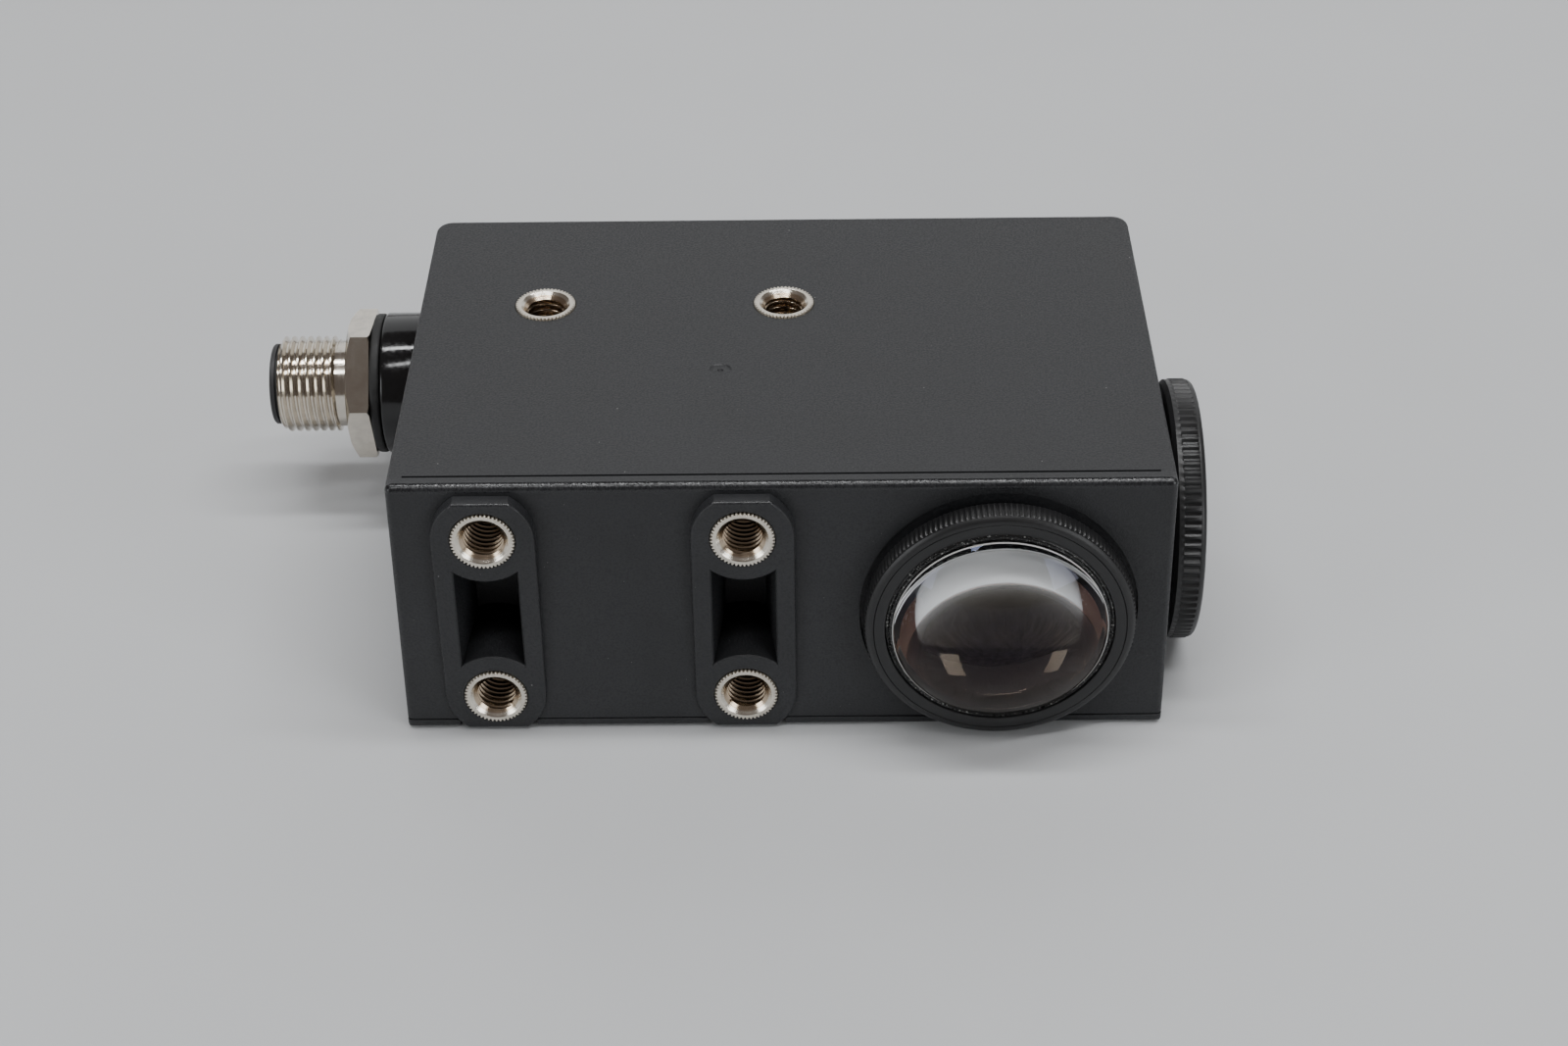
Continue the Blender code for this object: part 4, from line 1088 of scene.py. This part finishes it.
def buildCap():
    axis = (-1, 0, 0)
    foot = (capHigh.x, *capAxis)
    radius = blindCap["radius"]
    edge = blindCap["edge"]
    width = blindCap["knurlWidth"]
    end = blindCap["barrelEnd"]
    outside = softened(
        [
            (0, 0.5),
            (blindCap["dish"] - 0.4, 0.5, 0.2),
            (blindCap["dish"] + 0.1, 0, 0.2),
            (radius - 0.1, 0, edge),
            (radius - 0.1, edge + 0.3),
        ],
        closed=False,
        steps=5,
    )
    profile = [
        *outside[:-1],
        (radius - 0.14, edge - 0.05),
        (radius, edge + 0.2),
        (radius, blindCap["knurlEnd"]),
        (radius - 0.1, blindCap["knurlEnd"] + 0.15),
        (radius - 0.1, width - 0.45),
        (radius - 0.55, width),
        (blindCap["neck"], width),
        (blindCap["neck"], width + 1.4),
        *threadSteps(blindCap["barrel"], 0.25, width + 1.7, end - 0.3),
        (blindCap["barrel"] - 0.35, end),
        (blindCap["bore"], end),
        (blindCap["bore"], 3.0),
        (0, 3.0),
    ]
    cap = turned(profile, blindCap["teeth"] * 4)
    toothed(cap, blindCap["teeth"], blindCap["toothDepth"], edge + 0.1, blindCap["knurlEnd"], radius)
    cap = placed(cap, foot, axis)
    finished("blindCap", cap, "cap_unit", ringPlastic, ["blind_cap"], sharp=35)
    buildSeal("capSeal", "cap_seal", "cap_seat", width, 1.3, foot, axis)


buildCap()
print("scanner: cap built")


# M12 plug

plug = {
    "sleeveRadius": 8.65,
    "hexFlats": 16.0,
    "hexTurn": 20.6,
    "hexChamfer": 0.7,
    "relief": 6.3,  # radius of the shallow relief in the hexagon's face
    "threadMajor": 5.88,
    "threadMinor": 5.28,
    "pitch": 1.0,
    "bore": 4.4,
    "pinCircle": 2.5,
    "pinRadius": 0.5,
    "hexSpot": 8.85,  # from the thread's tip to the hexagon's face
    "hexWidth": 2.9,
    "threadLength": 7.35,
    "lip": 6.8,  # radius of the sleeve's foot in the wall
    "lipBore": 5.4,
    "leadBore": 4.9,
    "keyDepth": 7.2,  # from the tip to the face that the pins stand on
}


def buildPlug():
    axis = (1, 0, 0)
    foot = (0, *plugAxis)
    lathe = (foot, axis)
    tip = nodeBox("connector_insulator")[0].x
    hexLow = shellLow.x + plug["hexSpot"]
    hexHigh = hexLow + plug["hexWidth"]
    threadStart = shellLow.x
    radius = plug["sleeveRadius"]
    lip = plug["lip"]
    inner = plug["lipBore"]

    low = sleeveLow.x
    high = -halfLength - 0.05
    outline = [(inner, low), (radius, low, 0.35), (radius, high, 0.12), (lip, high)]
    outline += [(lip, sleeveHigh.x), (inner, sleeveHigh.x)]
    sleeve = ringAbout(softened(outline), foot, axis)
    finished("plugSleeve", sleeve, "housing", sleevePlastic, ["connector_sleeve"])

    low, high = nodeBox("connector_seal")
    low = low.x - 0.2
    high = high.x + 0.2
    outline = [(inner, low), (radius - 0.1, low, 0.3), (radius - 0.1, high, 0.3), (inner, high)]
    shape = ringAbout(softened(outline), foot, axis)
    finished("plugSeal", shape, "housing", blackRubber, ["connector_seal"])

    # tube with neck, then hexagon, then the thread that is trimmed by a chamfered envelope
    minor = plug["threadMinor"]
    major = plug["threadMajor"]
    wide = plug["leadBore"]
    tube = [
        (minor - 0.25, threadStart),
        (minor, threadStart + 0.2),
        (minor, hexLow + 0.6),
        (7.6, hexLow + 0.6),
        (7.6, hexHigh),
        (5.0, hexHigh),
        (5.0, shellHigh.x),
        (plug["bore"], shellHigh.x),
        (plug["bore"], -54.0),
        (wide, -54.0),
        (wide, threadStart),
    ]
    shell = turned(tube, 96, ring=True)
    corner = plug["hexFlats"] / 2 / math.cos(math.pi / 6)
    hexagon = prism(arc((0, 0), corner, plug["hexTurn"], plug["hexTurn"] + 300, 5), "Z", hexLow, hexHigh)
    chamfer = plug["hexChamfer"]
    blank = [
        (0, hexLow),
        (corner - chamfer * 1.6, hexLow),
        (corner + 0.1, hexLow + chamfer),
        (corner + 0.1, hexHigh - 0.25),
        (corner - 0.3, hexHigh),
        (0, hexHigh),
    ]
    relief = rod(plug["relief"], (0, 0, hexLow - 1), (0, 0, hexLow + 0.4), 64)
    hexagon = combined(hexagon, [("INTERSECT", turned(blank, 96)), ("DIFFERENCE", relief)])
    root = minor - 0.1
    section = [(root, -0.47), (major, -0.07), (major, 0.07), (root, 0.47)]
    ridge = helix(section, plug["pitch"], 9, 48)
    bmesh.ops.translate(ridge, verts=ridge.verts, vec=(0, 0, threadStart - 0.9))
    end = threadStart + plug["threadLength"]
    envelope = [
        (root - 0.3, threadStart + 0.02),
        (root, threadStart + 0.02),
        (major + 0.1, threadStart + 0.62),
        (major + 0.1, end - 0.3),
        (root - 0.3, end),
    ]
    ridge = combined(ridge, [("INTERSECT", turned(envelope, 96, ring=True))])
    hollow = rod(plug["bore"], (0, 0, -56), (0, 0, -40), 64)
    shell = combined(shell, joins(hexagon, ridge) + cuts(hollow))
    shell = placed(shell, foot, axis)
    finished("plugShell", shell, "housing", nickelPlate, ["connector_shell"], lathe)

    face = tip + plug["keyDepth"]
    cup = [(0, -39.6), (4.1, -39.6), (4.1, -54.3), (4.6, -54.3), (4.6, tip + 0.62), (4.95, tip + 0.6)]
    cup += [(4.95, tip + 0.15), (4.8, tip), (4.4, tip), (4.3, tip + 0.12), (4.3, face), (0, face)]
    key = block((3.7, -0.6, tip + 1.0), (4.45, 0.6, face + 0.2))
    steps = joins(placed(key, (0, 0, 0), up, 90))
    spots = [(0.0, 0.0)] + arc((0, 0), plug["pinCircle"], 45, 315, 3)
    for x, y in spots:
        steps += cuts(rod(plug["pinRadius"] + 0.02, (x, y, -57), (x, y, -38), 20))
    carrier = placed(combined(turned(cup, 96), steps), foot, axis)
    finished("plugCarrier", carrier, "housing", componentPlastic, ["connector_insulator"])

    for number in range(1, 6):
        name = f"contact_pin_{number}"
        low, high = nodeBox(name)
        middle = (low + high) / 2
        start = (low.x, middle.y, middle.z)
        radius = plug["pinRadius"]
        profile = capCurve(radius, radius * 0.8, 0.4, -1, 6)
        profile += [(radius, high.x - low.x), (0, high.x - low.x)]
        pin = placed(turned(profile, 24), start, axis)
        line = (start, axis)
        finished(f"contactPin{number}", pin, "housing", contactGold, [name], line)


buildPlug()
print("scanner: plug built")


# control panel on the rear

panel = {
    "edge": 0.25,
    "corner": 0.6,
    "buttonRadius": 3.5,
    "lightRadius": 1.5,
    "frame": 0.5,  # width of the sunk line round the panel
    "frameInset": 1.4,
}


def buildPanel():
    along = (0, -1, 0)
    buttons = nodeCentres("teach_button", 2)
    lights = nodeCentres("status_light", 2)
    face = panelHigh.y
    plate = block(panelLow, panelHigh)
    rounded(plate, runsAlong(1, 0.5), panel["corner"], 4)
    rounded(plate, liesAt(1, face), panel["edge"], 3)
    frames = []
    inset = panel["frameInset"]
    for gap, back, front, corner in ((inset, 0.15, 1, 0.8), (inset + panel["frame"], 1, 2, 0.6)):
        low = (panelLow.x + gap, face - back, panelLow.z + gap)
        high = (panelHigh.x - gap, face + front, panelHigh.z - gap)
        frames.append(rounded(block(low, high), runsAlong(1, 0.5), corner, 4))
    steps = cuts(combined(frames[0], cuts(frames[1])))
    for centres, radius in ((buttons, panel["buttonRadius"] + 0.18), (lights, panel["lightRadius"] + 0.1)):
        for centre in centres:
            well = [(0, -1), (radius + 0.3, -1), (radius + 0.3, 0), (radius, 0.3), (radius, 3), (0, 3)]
            foot = (centre.x, face, centre.z)
            steps += cuts(placed(turned(well, 64), foot, along))
    shape = combined(plate, steps)
    finished("controlPanel", shape, "housing", panelPlastic, ["control_panel"], even=True)

    for number, centre in enumerate(buttons, 1):
        name = f"teach_button_{number}"
        foot = (centre.x, nodeBox(name)[1].y, centre.z)
        radius = panel["buttonRadius"]
        cap = softened(
            [
                (0, 0.22),
                (radius * 0.55, 0.16, 2.0),
                (radius * 0.74, 0.0, 0.5),
                (radius, 0.02, 0.4),
                (radius, 2.1),
                (4.5, 2.1),
                (4.5, 2.9),
                (1.4, 2.9),
                (1.4, 4.2),
                (0, 4.2),
            ],
            closed=False,
            steps=5,
        )
        button = placed(turned(cap, 64), foot, along)
        body = f"teach_key_{number}"
        finished(f"teachButton{number}", button, body, buttonRubber, [name])

    for number, centre in enumerate(lights, 1):
        name = f"status_light_{number}"
        foot = (centre.x, nodeBox(name)[1].y, centre.z)
        radius = panel["lightRadius"]
        pipe = capCurve(radius, 0.35, 0.35, -1, 8)
        pipe += [(radius, 1.4), (2.1, 1.4), (2.1, 2.3), (radius, 2.3), (radius, 4.2), (0, 4.2)]
        mat, slot = ((greenLight, "status_green"), (amberLight, "status_amber"))[number - 1]
        light = placed(turned(pipe, 40), foot, along)
        finished(f"statusLight{number}", light, "housing", mat, [name])


buildPanel()
print("scanner: control panel built")


# inner parts keep the shape they have in the frame and get a finish

inside = [
    (greenBoard, ["main_board", "panel_board", "emitter_board", "receiver_board"]),
    (housingPlastic, ["optics_block"]),
    (clearGlass, ["beam_splitter", "condenser_lens", "receiver_lens"]),
    (blackRubber, ["cover_gasket"]),
    (nickelPlate, ["connector_locknut"]),
    (leadFilm, ["connector_lead", "panel_flex", "receiver_flex", "emitter_flex"]),
    (componentPlastic, ["processor_chip", "emitter_led", "photodiode"]),
    (componentPlastic, ["button_switch_1", "button_switch_2", "status_led_1", "status_led_2"]),
    (screwSteel, [f"board_screw_{number}" for number in (1, 2, 3)]),
    (screwSteel, ["optics_screw_1", "optics_screw_2", "panel_screw_1", "panel_screw_2"]),
]
for mat, names in inside:
    for name in names:
        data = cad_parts[name].data
        data.materials.clear()
        data.materials.append(mat)
print("scanner: inner parts finished")


# floor, light and camera

studio = {
    "floorColour": (0.56, 0.57, 0.58),
    "floorHalf": 4.0,
    "skyColour": (0.30, 0.26, 0.24),
    "skyStrength": 0.42,
    "lights": [  # name, place and aim in metres, width, depth, watts, colour
        ("ceilingTube", (0.1, 0.04, 1.0), (0.1, 0.04, 0), 1.1, 0.08, 7.2, (0.98, 0.99, 1)),
        ("frontTube", (0.1, -0.37, 0.97), (0, 0, 0), 1.1, 0.07, 3.6, (0.98, 0.99, 1)),
        ("rightFill", (1.0, -0.9, 0.45), (0, 0, 0.02), 0.5, 0.6, 4.5, (0.95, 0.98, 1)),
        ("leftFill", (-1.1, -0.8, 0.4), (0, 0, 0.02), 0.5, 0.6, 4.5, (0.95, 0.98, 1)),
        ("backdrop", (0, 1.5, 0.85), (0, 0, 0.1), 3.4, 1.6, 14.5, (0.95, 0.98, 1)),
    ],
    "lens": 64.68,
    "cameraSpot": (2.644, -275.35, 203.23),
    "azimuth": 0.00961,  # radians, measured from straight ahead
    "elevation": 0.61914,
    "roll": -0.01408,
}


def buildFloor():
    half = studio["floorHalf"]
    bm = bmesh.new()
    bmesh.ops.create_grid(bm, x_segments=1, y_segments=1, size=half)
    mesh = bpy.data.meshes.new("floor")
    bm.to_mesh(mesh)
    bm.free()
    floor = bpy.data.objects.new("floor", mesh)
    floor.location.z = cadBox[0].z - 0.0001
    bpy.context.scene.collection.objects.link(floor)
    mat, tree, shader, where = startMaterial("floorPaper", studio["floorColour"])
    cloud = noise(tree, where, 30.0, 4.0)
    colour = studio["floorColour"]
    paler = tuple(channel * 1.06 for channel in colour)
    tree.links.new(mixed(tree, cloud, (*colour, 1), (*paler, 1)), shader.inputs["Base Color"])
    tree.links.new(remap(tree, cloud, 0.3, 0.7, 0.55, 0.7), shader.inputs["Roughness"])
    mesh.materials.append(mat)


def addSoftbox(name, spot, aim, width, depth, power, tint):
    data = bpy.data.lights.new(name, "AREA")
    data.shape = "RECTANGLE"
    data.size = width
    data.size_y = depth
    data.energy = power
    data.color = tint
    lamp = bpy.data.objects.new(name, data)
    lamp.location = spot
    lamp.rotation_euler = (Vector(aim) - Vector(spot)).to_track_quat("-Z", "Y").to_euler()
    bpy.context.scene.collection.objects.link(lamp)


def buildStudio():
    world = bpy.data.worlds.new("paleRoom")
    world.use_nodes = True
    sky = world.node_tree.nodes["Background"]
    sky.inputs["Color"].default_value = (*studio["skyColour"], 1)
    sky.inputs["Strength"].default_value = studio["skyStrength"]
    bpy.context.scene.world = world
    for light in studio["lights"]:
        addSoftbox(*light)


def buildCamera():
    azimuth = studio["azimuth"]
    elevation = studio["elevation"]
    roll = studio["roll"]
    right = Vector((math.cos(azimuth), math.sin(azimuth), 0))
    ahead = Vector((-math.sin(azimuth), math.cos(azimuth), 0))
    forward = ahead * math.cos(elevation) - Vector(up) * math.sin(elevation)
    above = right.cross(forward)
    tiltedRight = right * math.cos(roll) + above * math.sin(roll)
    tiltedUp = above * math.cos(roll) - right * math.sin(roll)
    turn = Matrix((tiltedRight, tiltedUp, -forward)).transposed()
    data = bpy.data.cameras.new("camera")
    data.lens = studio["lens"]
    data.sensor_width = 36
    data.clip_start = 0.01
    data.clip_end = 20
    camera = bpy.data.objects.new("camera", data)
    spot = Vector(studio["cameraSpot"]) * mm
    camera.matrix_world = Matrix.Translation(spot) @ turn.to_4x4()
    bpy.context.scene.collection.objects.link(camera)
    bpy.context.scene.camera = camera


buildFloor()
buildStudio()
buildCamera()
print("scanner: studio ready")
